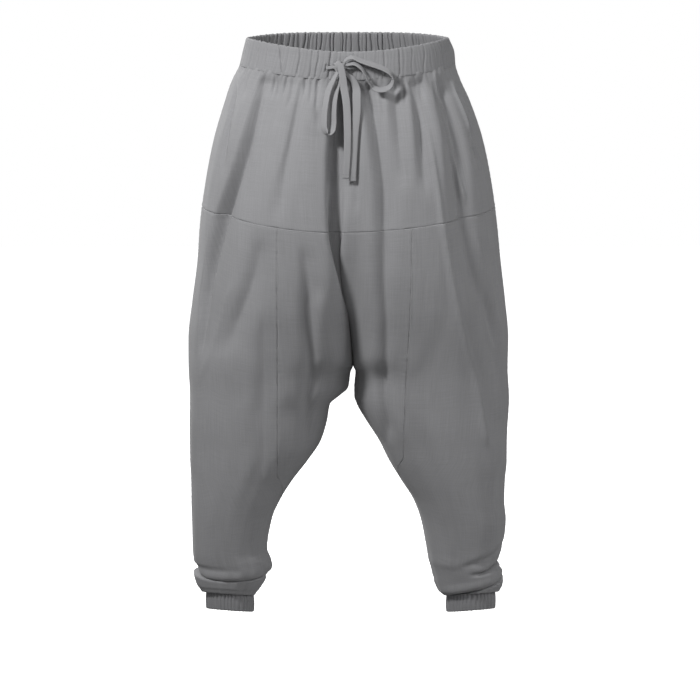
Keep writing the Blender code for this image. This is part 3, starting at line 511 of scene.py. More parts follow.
def build_weave():
    group, inward, outward = new_group("plain_weave", WEAVE_INPUTS, WEAVE_OUTPUTS)
    links = group.links

    def times(first, second):
        return math_node(group, "MULTIPLY", first, second)

    def plus(first, second):
        return math_node(group, "ADD", first, second)

    def swung(value, share):
        """A value from 0 to 1, turned into a swing round 0."""
        return times(math_node(group, "SUBTRACT", value, 0.5), share)

    uv = group.nodes.new("ShaderNodeUVMap")
    uv.uv_map = "UVMap"
    split = group.nodes.new("ShaderNodeSeparateXYZ")
    links.new(uv.outputs[0], split.inputs[0])
    phase = times(inward.outputs["Threads per Metre"], float(np.pi))
    warp = math_node(group, "SINE", times(split.outputs[0], phase))
    weft = math_node(group, "SINE", times(split.outputs[1], phase))
    thread = times(plus(times(warp, weft), 1.0), 0.5)
    long_slub = slub_noise(group, uv.outputs[0], LONG_SLUB, 3.0)
    cross_slub = slub_noise(group, uv.outputs[0], CROSS_SLUB, 3.0)
    cloud = slub_noise(group, uv.outputs[0], CLOUDS, 2.0)
    fibre = slub_noise(group, uv.outputs[0], FIBRES, 2.0)
    slub = plus(times(long_slub, LONG_SHARE), times(cross_slub, CROSS_SHARE))
    swing = times(swung(slub, inward.outputs["Slub"]), SLUB_GAIN)
    cloudy = plus(swing, swung(cloud, CLOUD_SWING))
    fuzzy = plus(swung(fibre, FIBRE_SWING), swung(thread, THREAD_SWING))
    gain = plus(plus(cloudy, fuzzy), 1.0)
    scaled = group.nodes.new("ShaderNodeVectorMath")
    scaled.operation = "SCALE"
    links.new(inward.outputs["Colour"], scaled.inputs[0])
    links.new(gain, scaled.inputs["Scale"])
    links.new(scaled.outputs[0], outward.inputs["Colour"])
    rough = math_node(group, "ADD", inward.outputs["Roughness"], times(swing, ROUGH_SWING), clamp=True)
    links.new(rough, outward.inputs["Roughness"])
    links.new(plus(times(thread, 0.5), slub), outward.inputs["Height"])
    return group


WEAVE = build_weave()
print("weave group:", len(WEAVE.nodes), "nodes")


# %% Cloth materials
def cloth_material(name, colour, threads=1500.0, slub=0.10, roughness=0.9, bump=0.35, depth=0.0003,
                   sheen=0.12):
    material = bpy.data.materials.new(name)
    material.use_nodes = True
    tree = material.node_tree
    shader = tree.nodes["Principled BSDF"]
    weave = tree.nodes.new("ShaderNodeGroup")
    weave.node_tree = WEAVE
    weave.inputs["Colour"].default_value = (*colour, 1)
    weave.inputs["Threads per Metre"].default_value = threads
    weave.inputs["Slub"].default_value = slub
    weave.inputs["Roughness"].default_value = roughness
    lift = tree.nodes.new("ShaderNodeBump")
    lift.inputs["Strength"].default_value = bump
    lift.inputs["Distance"].default_value = depth
    tree.links.new(weave.outputs["Height"], lift.inputs["Height"])
    tree.links.new(weave.outputs["Colour"], shader.inputs["Base Color"])
    tree.links.new(weave.outputs["Roughness"], shader.inputs["Roughness"])
    tree.links.new(lift.outputs["Normal"], shader.inputs["Normal"])
    shader.inputs["Sheen Weight"].default_value = sheen
    shader.inputs["Sheen Roughness"].default_value = SHEEN_ROUGHNESS
    shader.inputs["Specular IOR Level"].default_value = SHINE
    return material


CLOTH_GREY = (0.262, 0.262, 0.270)
CLOTH = cloth_material("grey_linen", CLOTH_GREY)
# The waistband's colour is a darker copy of the same grey: painted shade of its creases.
BAND_CLOTH_SHADED = cloth_material("grey_linen_band_painted_shade", (0.245, 0.245, 0.253))
# The cuffs' colour is darker still: painted shade of their ribs.
CUFF_CLOTH_SHADED = cloth_material("grey_linen_cuff_painted_shade", (0.215, 0.215, 0.223))
TAPE = cloth_material("tape_linen", (0.270, 0.270, 0.278), threads=1700.0, slub=0.06)
THREAD = cloth_material("sewing_thread", (0.235, 0.235, 0.243), threads=5200.0, slub=0.02, bump=0.2)

# %% [markdown]
# ## Folds of the cloth
# Loose cloth that hangs from a gathered waist falls in long folds. On each, a soft crest is
# followed by an even slope, a sharp trough and an easy way up again. The largest are listed.
# A row gives where its fold starts and ends, and then a few places, depths and widths of
# the slope, each spread evenly over that length. A negative depth is a ridge. The back has folds
# of the same kind, because nobody gathers the back of a waistband differently from its front.

# %% Fold table
Fold = namedtuple("Fold", "side face top bottom places depths bands rise shoulder snap")
FOLDS = [
    # front, wearer's right leg
    Fold(RIGHT, FRONT, -0.02, -0.50, (-0.130, -0.155, -0.190, -0.220, -0.240),
         (0.010, 0.021, 0.027, 0.020, 0.004), (0.010, 0.020, 0.020, 0.015, 0.010), 0.050, 0.30, 0.50),
    Fold(RIGHT, FRONT, -0.05, -0.20, (-0.180, -0.195, -0.205),
         (0.006, 0.007, 0.005), (0.008,), 0.012, 0.5, 0.3),
    Fold(RIGHT, FRONT, -0.03, -0.27, (-0.075, -0.090, -0.105, -0.115),
         (0.002, 0.005, 0.006, 0.003), (0.005, 0.010, 0.030), 0.018, 0.5, 0.4),
    Fold(RIGHT, FRONT, -0.29, -0.49, (-0.140, -0.155, -0.180, -0.205),
         (0.004, 0.009, 0.009, 0.003), (0.025, 0.030), 0.026, 0.5, 0.3),
    Fold(RIGHT, FRONT, -0.42, -0.74, (-0.140, -0.140, -0.145),
         (0.003, 0.007, 0.006, 0.003), (0.010, 0.035, 0.040), 0.030, 0.5, 0.3),
    Fold(RIGHT, FRONT, -0.30, -0.65, (-0.075, -0.065, -0.060, -0.070, -0.075),
         (0.004, 0.016, 0.018, 0.012, 0.005), (0.010, 0.030, 0.035, 0.040), 0.018, 0.5, 0.5),
    # front, in the middle: the deep fold and the lit strip beside it
    Fold(CENTRE, FRONT, -0.03, -0.42, (-0.020, -0.020, -0.025, -0.010),
         (0.012, 0.021, 0.017, 0.002), (0.010, 0.025, 0.025, 0.010), 0.014, 0.35, 0.4),
    Fold(CENTRE, FRONT, -0.19, -0.44, (-0.010, -0.010, 0.0), (0.0, -0.008, -0.012, -0.010, 0.0),
         (0.008,), 0.018, 0.5, 0.0),
    # front, wearer's left leg
    Fold(LEFT, FRONT, -0.03, -0.64, (0.025, 0.045, 0.055, 0.055, 0.060, 0.060, 0.070),
         (0.018, 0.018, 0.014, 0.014, 0.012, 0.009), (0.020, 0.025, 0.020, 0.015), 0.020, 0.5, 0.3),
    Fold(LEFT, FRONT, -0.03, -0.22, (0.070, 0.075, 0.080, 0.085), (0.014, 0.012, 0.004),
         (0.025, 0.020), 0.014, 0.4, 0.3),
    Fold(LEFT, FRONT, -0.03, -0.23, (0.100, 0.110, 0.115, 0.120), (0.013, 0.013, 0.004),
         (0.020, 0.020), 0.012, 0.4, 0.3),
    Fold(LEFT, FRONT, -0.04, -0.64, (0.135, 0.160, 0.170, 0.190, 0.225, 0.240, 0.245),
         (0.014, 0.016, 0.015, 0.014, 0.013, 0.006, 0.002), (0.020, 0.035, 0.035, 0.045, 0.050, 0.040),
         0.018, 0.3, 0.1),
    Fold(LEFT, FRONT, -0.05, -0.19, (0.165, 0.185, 0.195, 0.215), (0.006, 0.009, 0.004),
         (0.010, 0.020), 0.012, 0.5, 0.1),
    Fold(LEFT, FRONT, -0.06, -0.13, (0.180, 0.195, 0.205), (0.005,), (0.010,), 0.010, 0.5, 0.1),
    Fold(LEFT, FRONT, -0.32, -0.44, (0.225, 0.235, 0.245), (0.004,), (0.015,), 0.010, 0.5, 0.1),
    # back
    Fold(RIGHT, BACK, -0.02, -0.56, (-0.110, -0.140, -0.180, -0.218, -0.244),
         (0.012, 0.013, 0.010, 0.004), (0.012, 0.030, 0.032, 0.020), 0.040, 0.4, 0.35),
    Fold(RIGHT, BACK, -0.02, -0.40, (-0.056, -0.068, -0.088, -0.114, -0.134),
         (0.006, 0.006, 0.0), (0.010, 0.018), 0.030, 0.5, 0.35),
    Fold(RIGHT, BACK, -0.28, -0.70, (-0.092, -0.070, -0.070, -0.096),
         (0.003, 0.008, 0.008, 0.004), (0.014, 0.026, 0.022), 0.022, 0.5, 0.35),
    Fold(RIGHT, BACK, -0.42, -0.78, (-0.205, -0.212, -0.215, -0.208),
         (0.006,), (0.014, 0.022), 0.024, 0.5, 0.35),
    Fold(LEFT, BACK, -0.02, -0.58, (0.098, 0.142, 0.186, 0.222, 0.244),
         (0.011, 0.012, 0.011, 0.004), (0.012, 0.028, 0.034, 0.020), 0.036, 0.4, 0.35),
    Fold(LEFT, BACK, -0.02, -0.37, (0.040, 0.050, 0.067, 0.090, 0.108),
         (0.006, 0.006, 0.0), (0.010, 0.018), 0.026, 0.5, 0.35),
    Fold(LEFT, BACK, -0.26, -0.68, (0.096, 0.074, 0.068, 0.084),
         (0.003, 0.008, 0.008, 0.004), (0.016, 0.026, 0.020), 0.022, 0.5, 0.35),
    Fold(LEFT, BACK, -0.40, -0.76, (0.214, 0.220, 0.216, 0.206),
         (0.006,), (0.014, 0.022), 0.022, 0.5, 0.35),
]
FOLD_FADE, EDGE_FADE = 0.045, 0.02
UNDER_BAND, FOLD_START = 0.004, 0.022     # a fold begins at the waistband's seam
EDGE_SNAP = 0.005                         # reach of the quick first part of the rise out of a trough
TROUGH_ROUND = 0.0016
TROUGH_BLEND = ((-1.2, 0.25), (0.0, 0.5), (1.2, 0.25))    # shifts and weights that round a trough


def fold_shape(distance, band, rise, shoulder, snap):
    """1 at the trough, easing to 0 at the crest on its left and further off on its right."""
    down = np.clip(1 + distance / band, 0, 1)
    falling = np.where(down < shoulder, down ** 2 / (2 * shoulder), down - shoulder / 2)
    falling = falling / (1 - shoulder / 2)
    away = np.maximum(distance, 0)
    rising = snap * np.exp(-away / EDGE_SNAP) + (1 - snap) * np.exp(-(away / rise) ** 2)
    return np.where(distance < 0, falling, rising)


def along_fold(fold, values, z):
    """Values that are spread evenly over a fold's length, read at the heights z."""
    spots = np.linspace(fold.top, fold.bottom, len(values))
    return np.interp(-z, -spots, values)


def line_table(rows):
    """Each row's u at each height; for a row in the middle, its metres from the centre line."""
    lines = []
    for row in rows:
        heights = np.linspace(row.top, row.bottom, len(row.places))
        if row.side == CENTRE:
            lines.append(smooth(heights, row.places, HEIGHTS) - CENTRE_X)
            continue
        sunk = along_fold(row, row.depths, HEIGHTS) if hasattr(row, "depths") else 0.0
        lines.append(path_u(row.side, row.face, heights, row.places, sunk))
    return lines


FOLD_LINES = line_table(FOLDS)


def near_line(row, line, side, u, z):
    """Where a line's own cloth is, and metres to the right of the line as seen from outside."""
    face = np.where(u <= 0.5, FRONT, BACK)
    metres = metres_per_u(side, u, z)
    place = np.interp(z, HEIGHTS, line)
    if row.side == CENTRE:
        from_centre = SIGN[side] * np.where(u <= 0.5, u, u - 1) * metres
        return face == row.face, from_centre - (place if row.face == FRONT else -place)
    return (side == row.side) & (face == row.face), (u - place) * metres * SIGN[row.side]


def fades(row, u, z, fade):
    """A line comes and goes at its ends, and is gone at the side seam and, but for one in the
    middle, at the centre."""
    ends = ease((row.top + fade / 2 - z) / fade) * ease((z - row.bottom) / fade)
    inner = 1.0 if row.side == CENTRE else np.minimum(u, 1 - u)
    return ends * ease(np.minimum(np.abs(u - 0.5), inner) / EDGE_FADE)


def fold_relief(side, u, z):
    total = np.zeros(np.shape(z))
    for fold, line in zip(FOLDS, FOLD_LINES):
        near, distance = near_line(fold, line, side, u, z)
        band = along_fold(fold, fold.bands, z)
        depth = along_fold(fold, fold.depths, z)
        shape = 0.0
        for shift, weight in TROUGH_BLEND:
            place = distance + shift * TROUGH_ROUND
            shape = shape + weight * fold_shape(place, band, fold.rise, fold.shoulder, fold.snap)
        total -= np.where(near, depth * shape * fades(fold, u, z, FOLD_FADE), 0.0)
    return total * ease((band_bottom(u) + UNDER_BAND - z) / FOLD_START)


print("folds:", len(FOLDS), "placed by hand")

# %% [markdown]
# ## Gathers and fine wrinkles
# Under the elastic the cloth is gathered: short narrow valleys that start at the seam and widen
# as they run out. Some are listed one by one and the rest are drawn with a fixed seed, all round.
# Faint long waves keep the plain parts of the cloth from looking like sheet metal.

# %% Gathers
Pleat = namedtuple("Pleat", "side face depth width top bottom places")
PLEATS = [
    # under the band on the wearer's right, from the side inwards
    Pleat(RIGHT, FRONT, 0.0030, 0.008, -0.02, -0.08, (-0.170, -0.175)),
    Pleat(RIGHT, FRONT, 0.0035, 0.003, -0.03, -0.07, (-0.120, -0.130)),
    Pleat(RIGHT, FRONT, 0.0035, 0.003, -0.03, -0.07, (-0.115, -0.120)),
    Pleat(RIGHT, FRONT, 0.0035, 0.003, -0.03, -0.07, (-0.100, -0.110)),
    Pleat(RIGHT, FRONT, 0.0030, 0.004, -0.03, -0.09, (-0.090, -0.095, -0.105)),
    Pleat(RIGHT, FRONT, 0.0030, 0.003, -0.03, -0.07, (-0.070, -0.075)),
    Pleat(RIGHT, FRONT, 0.0025, 0.003, -0.03, -0.08, (-0.060, -0.065)),
    Pleat(RIGHT, FRONT, 0.0035, 0.003, -0.03, -0.09, (-0.050, -0.055)),
    Pleat(RIGHT, FRONT, 0.0035, 0.006, -0.08, -0.12, (-0.050, -0.050)),
    # ridges on the wearer's right leg
    Pleat(RIGHT, FRONT, -0.0050, 0.010, -0.38, -0.61, (-0.050, -0.050, -0.055, -0.065)),
    Pleat(RIGHT, FRONT, -0.0025, 0.005, -0.37, -0.53, (-0.195, -0.220, -0.245)),
    # under the band on the wearer's left, from the middle outwards
    Pleat(LEFT, FRONT, 0.0020, 0.005, -0.11, -0.25, (0.015, 0.010, 0.010)),
    Pleat(LEFT, FRONT, 0.0025, 0.003, -0.05, -0.10, (0.035, 0.040)),
    Pleat(LEFT, FRONT, 0.0025, 0.003, -0.05, -0.11, (0.050, 0.055)),
    Pleat(LEFT, FRONT, 0.0030, 0.003, -0.03, -0.09, (0.085, 0.090)),
    Pleat(LEFT, FRONT, 0.0035, 0.004, -0.03, -0.08, (0.115, 0.120)),
    # ridges on the wearer's left leg, and one valley between two of them
    Pleat(LEFT, FRONT, -0.0035, 0.005, -0.04, -0.29, (0.105, 0.125, 0.140, 0.150)),
    Pleat(LEFT, FRONT, -0.0055, 0.005, -0.03, -0.24, (0.135, 0.160, 0.175, 0.190)),
    Pleat(LEFT, FRONT, -0.0050, 0.005, -0.04, -0.20, (0.165, 0.185, 0.205, 0.220)),
    Pleat(LEFT, FRONT, -0.0045, 0.005, -0.27, -0.64, (0.150, 0.165, 0.185, 0.210, 0.225)),
    Pleat(LEFT, FRONT, -0.0040, 0.006, -0.37, -0.49, (0.215, 0.225, 0.245)),
    Pleat(LEFT, FRONT, -0.0020, 0.004, -0.29, -0.34, (0.205, 0.220)),
    Pleat(LEFT, FRONT, 0.0020, 0.005, -0.30, -0.36, (0.220, 0.230)),
]
FINE_SEED, FINE_COUNT, FINE_DEPTH, FINE_WIDTH = 3, 10, 0.0006, 0.0024


def fine_pleats():
    """Faint upright ones on the wearer's left thigh, where the cloth hangs slack."""
    draw = np.random.default_rng(FINE_SEED)
    rows = []
    for x in np.linspace(0.095, 0.155, FINE_COUNT):
        top = draw.uniform(-0.37, -0.26)
        rows.append(Pleat(LEFT, FRONT, FINE_DEPTH * draw.uniform(0.5, 1.2), FINE_WIDTH, top,
                          top - draw.uniform(0.05, 0.12), (x, x + draw.uniform(-0.002, 0.004))))
    return rows


PLEATS += fine_pleats()
PLEAT_FADE = 0.018
PLEAT_LINES = line_table(PLEATS)
GATHER_SEED, GATHERS_A_SIDE = 11, 46
GATHER_WIDENS = 14                        # times wider, for each metre down
GATHER_FADE, WAVE_FADE = 0.012, 0.03      # in u, beside the centre
Gather = namedtuple("Gather", "u depth width length drift")
SEAM_SWELL, SWELL_REACH = 0.0010, 0.014   # the cloth puffs out below the band


def draw_gathers(side):
    draw = np.random.default_rng(GATHER_SEED + side)
    spots = (np.arange(GATHERS_A_SIDE) + draw.uniform(0.1, 0.9, GATHERS_A_SIDE)) / GATHERS_A_SIDE
    rows = []
    for u in spots:
        depth, width = draw.uniform(0.0005, 0.0019), draw.uniform(0.0016, 0.0032)
        length = 0.012 + 0.050 * draw.uniform(0, 1) ** 2
        rows.append(Gather(u, depth, width, length, draw.uniform(-0.1, 0.35)))
    return rows


GATHERS = {side: draw_gathers(side) for side in (RIGHT, LEFT)}


def pleat_relief(side, u, z):
    total = np.zeros(np.shape(z))
    for pleat, line in zip(PLEATS, PLEAT_LINES):
        near, distance = near_line(pleat, line, side, u, z)
        shape = np.exp(-(distance / pleat.width) ** 2) * fades(pleat, u, z, PLEAT_FADE + 2 * pleat.width)
        total -= np.where(near, pleat.depth * shape, 0.0)
    return total


def gather_relief(side, u, z):
    total = np.zeros(np.shape(z))
    drop = band_bottom(u) - z
    metres = metres_per_u(side, u, z)
    for own, rows in GATHERS.items():
        for row in rows:
            line = row.u + row.drift * drop * np.sin(2 * np.pi * row.u)
            width = row.width * (1 + GATHER_WIDENS * np.clip(drop, 0, None))
            shape = np.exp(-((u - line) * metres / width) ** 2) * ease(1 - drop / row.length)
            total -= np.where(side == own, row.depth * shape, 0.0)
    swell = SEAM_SWELL * np.exp(-(drop / SWELL_REACH) ** 2)
    return total * ease(np.minimum(u, 1 - u) / GATHER_FADE) + swell


WAVE_SEED, WAVES = 5, 14
WAVE_DEPTH = 0.00022


def draw_waves(side):
    draw = np.random.default_rng(WAVE_SEED + side)
    across = draw.integers(4, 20, WAVES)
    down = draw.uniform(-22, 22, WAVES)
    return across, down, draw.uniform(0, 2 * np.pi, WAVES), draw.uniform(0.4, 1.0, WAVES)


WAVE_TABLE = {side: draw_waves(side) for side in (RIGHT, LEFT)}


def wave_relief(side, u, z):
    """Faint waves; each fits round a leg a whole number of times, so there is no step."""
    total = np.zeros(np.shape(z))
    for own, (across, down, phase, size) in WAVE_TABLE.items():
        for a, d, p, s in zip(across, down, phase, size):
            total += np.where(side == own, WAVE_DEPTH * s * np.cos(2 * np.pi * a * u + d * z + p), 0.0)
    return total * ease(np.minimum(u, 1 - u) / WAVE_FADE)


# %% [markdown]
# ## Creases at the ankles
# The legs are longer than the wearer's, so the cloth settles on the cuffs in level rolls. Over
# each crease the cloth bulges and hangs a little over the groove. That takes two moves: out and
# in along the surface, and down just above the groove.

# %% Ankle creases
Crease = namedtuple("Crease", "side u z spread slope bow depth width bulge drop")
CREASES = [
    #      side   u     z       spread slope  bow    depth   width   bulge   drop
    Crease(RIGHT, 0.26, -0.8590, 0.29, 0.010, 0.130, 0.0190, 0.0034, 0.0014, 0.0080),
    Crease(RIGHT, 0.04, -0.8520, 0.06, 0.060, 0.000, 0.0030, 0.0050, 0.0010, 0.0010),
    Crease(RIGHT, 0.76, -0.8620, 0.24, -0.030, 0.120, 0.0100, 0.0036, 0.0020, 0.0050),
    Crease(RIGHT, 0.66, -0.8260, 0.12, 0.050, 0.000, 0.0035, 0.0070, 0.0010, 0.0015),
    Crease(LEFT, 0.26, -0.8780, 0.20, 0.070, 0.000, 0.0150, 0.0036, 0.0016, 0.0070),
    Crease(LEFT, 0.38, -0.8430, 0.09, 0.085, 0.000, 0.0120, 0.0036, 0.0014, 0.0045),
    Crease(LEFT, 0.475, -0.8360, 0.045, 0.020, 0.000, 0.0100, 0.0034, 0.0012, 0.0030),
    Crease(LEFT, 0.36, -0.8220, 0.12, 0.140, 0.000, 0.0024, 0.0060, 0.0008, 0.0010),
    Crease(LEFT, 0.74, -0.8640, 0.22, -0.040, 0.120, 0.0100, 0.0036, 0.0020, 0.0050),
    Crease(LEFT, 0.62, -0.8280, 0.12, 0.050, 0.000, 0.0035, 0.0070, 0.0010, 0.0015),
]
BULGE_AT, BULGE_REACH = 2.0, 1.6          # above the groove, in widths of it
DROP_AT, DROP_REACH = 1.1, 1.0


def crease_terms(crease, side, u, z):
    """How many widths a place lies above a crease, and how much the crease counts there."""
    around = (u - crease.u + 0.5) % 1.0 - 0.5
    above = z - crease.z - crease.slope * around - crease.bow * around ** 2
    mask = np.where(side == crease.side, np.exp(-(around / crease.spread) ** 4), 0.0)
    return above / crease.width, mask


def crease_relief(side, u, z):
    total = np.zeros(np.shape(z))
    for crease in CREASES:
        t, mask = crease_terms(crease, side, u, z)
        bulge = crease.bulge * np.exp(-((t - BULGE_AT) / BULGE_REACH) ** 2)
        total += mask * (bulge - crease.depth * np.exp(-t ** 2))
    return total


def crease_drop(side, u, z):
    total = np.zeros(np.shape(z))
    for crease in CREASES:
        t, mask = crease_terms(crease, side, u, z)
        total += mask * crease.drop * np.exp(-((t - DROP_AT) / DROP_REACH) ** 2)
    return total


PIT_DEPTH, PIT_ABOVE, PIT_HEIGHT, PIT_WIDTH = 0.018, 0.008, 0.012, 0.0065


def pit_relief(side, u, z):
    """The hollow where the four panels meet at the crotch."""
    across = np.minimum(u, 1 - u) * metres_per_u(side, u, z)
    up = (z - CROTCH - PIT_ABOVE) / PIT_HEIGHT
    return np.where(z > CROTCH, -PIT_DEPTH * np.exp(-up ** 2 - (across / PIT_WIDTH) ** 2), 0.0)


LIP_OUT, LIP_DROP, LIP_AT, LIP_WIDTH = 0.0012, 0.0030, 0.0030, 0.0026
PINCH, PINCH_HEIGHT = 0.0055, 0.010
ANKLE_GATHERS, ANKLE_WAVE, ANKLE_WAVE_LENGTH = 34, 0.0006, 0.020
CUFF_TABLE_U = np.linspace(0, 1, 181)
CUFF_RISE = [cuff_edge(np.full(CUFF_TABLE_U.shape, own), CUFF_TABLE_U) - CUFF_TOP
             for own in (RIGHT, LEFT)]


def cuff_edge_rise(side, u):
    """How far the upper edge of a cuff lies above its mean height."""
    return by_side(side, u, CUFF_TABLE_U, CUFF_RISE)


def cuff_lip(side, u, z):
    """Where the leg's cloth is pushed out over its cuff, from 0 to 1."""
    above = z - (CUFF_TOP + cuff_edge_rise(side, u))
    return np.exp(-((above - LIP_AT) / LIP_WIDTH) ** 2)


def ankle_relief(side, u, z):
    above = z - (CUFF_TOP + cuff_edge_rise(side, u))
    gathers = ANKLE_WAVE * np.cos(2 * np.pi * ANKLE_GATHERS * u + 2.0 * np.sin(9 * np.pi * u))
    pinch = PINCH * ease(1 - above / PINCH_HEIGHT)
    return LIP_OUT * cuff_lip(side, u, z) + gathers * ease(1 - above / ANKLE_WAVE_LENGTH) - pinch


# %% [markdown]
# ## Seams in relief
# A sewn seam pulls the cloth in to a narrow valley between two soft shoulders, and the thread
# gathers it in small puckers. The valley follows the same lines that the pieces are cut on.

# %% Seam relief
DIP_DEPTH, DIP_WIDTH = 0.0009, 0.0011
SHOULDER_HEIGHT, SHOULDER_WIDTH = 0.00015, 0.0045
PUCKER_DEPTH, PUCKER_REACH, PUCKER_LENGTH = 0.00022, 0.007, 0.0085
PULL, PULL_SWING = 0.62, 0.38             # how hard the thread pulls, and by how much that changes
SEAM_START, INSEAM_START = 0.004, 0.020   # heights over which a seam begins


def seam_shape(distance, along):
    """Relief at a distance from a seam; the waves along it drift, so that no two puckers match."""
    distance = np.abs(distance)
    turn = 2 * np.pi * along / PUCKER_LENGTH
    pull = PULL + PULL_SWING * np.cos(turn * 0.21 + 1.7 * np.sin(turn * 0.087))
    dip = -DIP_DEPTH * pull * np.exp(-(distance / DIP_WIDTH) ** 2)
    shoulder = SHOULDER_HEIGHT * np.exp(-((distance - SHOULDER_WIDTH * 0.7) / SHOULDER_WIDTH) ** 2)
    uneven = 2.2 * np.sin(turn * 0.13) + 1.1 * np.sin(turn * 0.31)
    pucker = PUCKER_DEPTH * (0.5 + pull) * np.cos(turn + uneven)
    return dip + shoulder + pucker * np.exp(-distance / PUCKER_REACH)


def seam_relief(side, u, z):
    metres = metres_per_u(side, u, z)
    total = seam_shape(z - yoke_seam(u), u * metres)
    below = ease((yoke_seam(u) - z) / SEAM_START)
    for own in (RIGHT, LEFT):
        for face in (FRONT, BACK):
            here = (side == own) & ((u <= 0.5) == (face == FRONT)) & (z > SEAMS[own].tip)
            distance = (u - seam_u(own, face, z)) * metres
            total += np.where(here, below * seam_shape(distance, z), 0.0)
    total += seam_shape((u - 0.5) * metres, z)
    inseam = ease((CROTCH - z) / INSEAM_START) * seam_shape(np.minimum(u, 1 - u) * metres, z)
    return total + np.where(z < CROTCH, inseam, 0.0)


RELIEFS = (fold_relief, pleat_relief, gather_relief, wave_relief, crease_relief, ankle_relief,
           seam_relief, pit_relief)


def cloth_points(side, u, z):
    """Points of the finished cloth."""
    u_in = np.clip(u, 0, 1)
    relief = sum(term(side, u_in, z) for term in RELIEFS)
    moved = base(side, u, z) + level_normal(side, u, z) * relief[..., None]
    lowered = z - crease_drop(side, u_in, z) - LIP_DROP * cuff_lip(side, u_in, z)
    return np.concatenate([moved, lowered[..., None]], axis=-1)


# %% [markdown]
# ## Drawstring
# The string is a flat tape of the same cloth. Its two halves come out of a buttonhole each,
# cross in a knot, make a loop each and hang down as tails. Each half is one free cord, so each
# is one swept tape: leads, loops and tails follow the solid model's route over the fine cloth,
# and the direction of the tape's width turns slowly where one stretch goes over into the next.
# A row is x, z, how far the tape lies in front of the cloth, and its share of the full width.

# %% Drawstring routes
TAPE_WIDTH, TAPE_THICK = 0.012, 0.0018
KNOT_X, KNOT_Z, KNOT_LIFT = -0.0151, -0.0149, 0.0085
Strand = namedtuple("Strand", "across rows")
LEAD_RIGHT = Strand((0, 0, 1), [
    (-0.0382, -0.0168, 0.0010, 0.45), (-0.0318, -0.0162, 0.0045, 0.40), (-0.0243, -0.0156, 0.0080, 0.40)])
LEAD_LEFT = Strand((0, 0, 1), [
    (0.0183, -0.0168, 0.0010, 0.45), (0.0080, -0.0162, 0.0048, 0.40), (-0.0059, -0.0152, 0.0080, 0.40)])
LOOP_LEFT = Strand((0.10, -0.75, -0.65), [
    (-0.0094, -0.0081, 0.0090, 0.50), (-0.0045, -0.0020, 0.0108, 0.65), (0.0042, 0.0002, 0.0120, 0.75),
    (0.0143, -0.0040, 0.0125, 0.90), (0.0270, -0.0085, 0.0125, 1.00), (0.0413, -0.0130, 0.0120, 1.05),
    (0.0540, -0.0180, 0.0120, 1.05), (0.0640, -0.0250, 0.0120, 1.00), (0.0680, -0.0340, 0.0120, 1.00),
    (0.0655, -0.0430, 0.0120, 1.00), (0.0575, -0.0495, 0.0120, 1.00), (0.0461, -0.0510, 0.0120, 1.00),
    (0.0358, -0.0460, 0.0120, 0.95), (0.0280, -0.0354, 0.0125, 0.90), (0.0232, -0.0245, 0.0125, 0.85),
    (0.0165, -0.0155, 0.0125, 0.75), (0.0070, -0.0100, 0.0120, 0.65), (-0.0069, -0.0114, 0.0100, 0.50)])
LOOP_RIGHT = Strand((0.70, -0.68, -0.20), [
    (-0.0206, -0.0212, 0.0085, 0.50), (-0.0262, -0.0345, 0.0090, 0.80), (-0.0342, -0.0513, 0.0090, 1.00),
    (-0.0390, -0.0751, 0.0090, 1.00), (-0.0410, -0.0970, 0.0090, 1.00), (-0.0398, -0.1130, 0.0090, 1.00),
    (-0.0350, -0.1200, 0.0090, 1.00), (-0.0292, -0.1165, 0.0090, 1.00), (-0.0262, -0.1060, 0.0090, 0.95),
    (-0.0257, -0.0878, 0.0090, 0.90), (-0.0247, -0.0719, 0.0085, 0.80), (-0.0222, -0.0577, 0.0085, 0.70),
    (-0.0188, -0.0450, 0.0080, 0.60), (-0.0155, -0.0335, 0.0080, 0.55), (-0.0139, -0.0227, 0.0080, 0.50)])
TAIL_FRONT = Strand((1, 0, 0), [
    (-0.0175, -0.0060, 0.0140, 0.80), (-0.0151, -0.0131, 0.0152, 0.85), (-0.0119, -0.0289, 0.0150, 0.95),
    (-0.0095, -0.0479, 0.0150, 1.00), (-0.0064, -0.0669, 0.0115, 1.00), (-0.0042, -0.0986, 0.0090, 1.00),
    (-0.0040, -0.1304, 0.0090, 0.95), (-0.0048, -0.1622, 0.0095, 0.90), (-0.0065, -0.1909, 0.0095, 0.85)])
TAIL_BEHIND = Strand((1, 0, 0), [
    (-0.0100, -0.0217, 0.0066, 0.40), (-0.0030, -0.0282, 0.0058, 0.60), (0.0048, -0.0360, 0.0052, 0.85),
    (0.0095, -0.0470, 0.0047, 1.05), (0.0103, -0.0670, 0.0045, 1.15), (0.0100, -0.0908, 0.0045, 1.10),
    (0.0080, -0.1147, 0.0045, 1.00), (0.0061, -0.1465, 0.0045, 0.95), (0.0048, -0.1784, 0.0045, 0.90),
    (0.0040, -0.1959, 0.0045, 0.90)])


def cloth_front(x, z):
    """y of what a tape lies on: the front-most cloth within its reach."""
    reach = x + TAPE_WIDTH * np.linspace(-0.7, 0.7, 5)
    side = np.where(reach > np.interp(z, HEIGHTS, CENTRE_X), LEFT, RIGHT)
    u = np.array([u_at(own, FRONT, place, z) for own, place in zip(side, reach)])
    return float(cloth_points(side, u, np.full(u.shape, z))[:, 1].min())


KNOT = np.array([KNOT_X, cloth_front(KNOT_X, KNOT_Z) - KNOT_LIFT, KNOT_Z])
TAPE_STEP = 0.0022


def tape_path(strands):
    """Even centres of a tape through several strands, with its width and the direction of it."""
    rows = []
    for strand in strands:
        for x, z, lift, share in strand.rows:
            rows.append((x, cloth_front(x, z) - lift, z, share, *strand.across))
    control = np.array(rows)
    steps = np.linalg.norm(np.diff(control[:, :3], axis=0), axis=1)
    place = np.concatenate([[0.0], np.cumsum(steps)])
    tangents = np.gradient(control, place, axis=0)
    even = np.linspace(0, place[-1], int(round(place[-1] / TAPE_STEP)) + 1)
    return np.stack([hermite(place, control[:, k], tangents[:, k], even) for k in range(7)], axis=1)


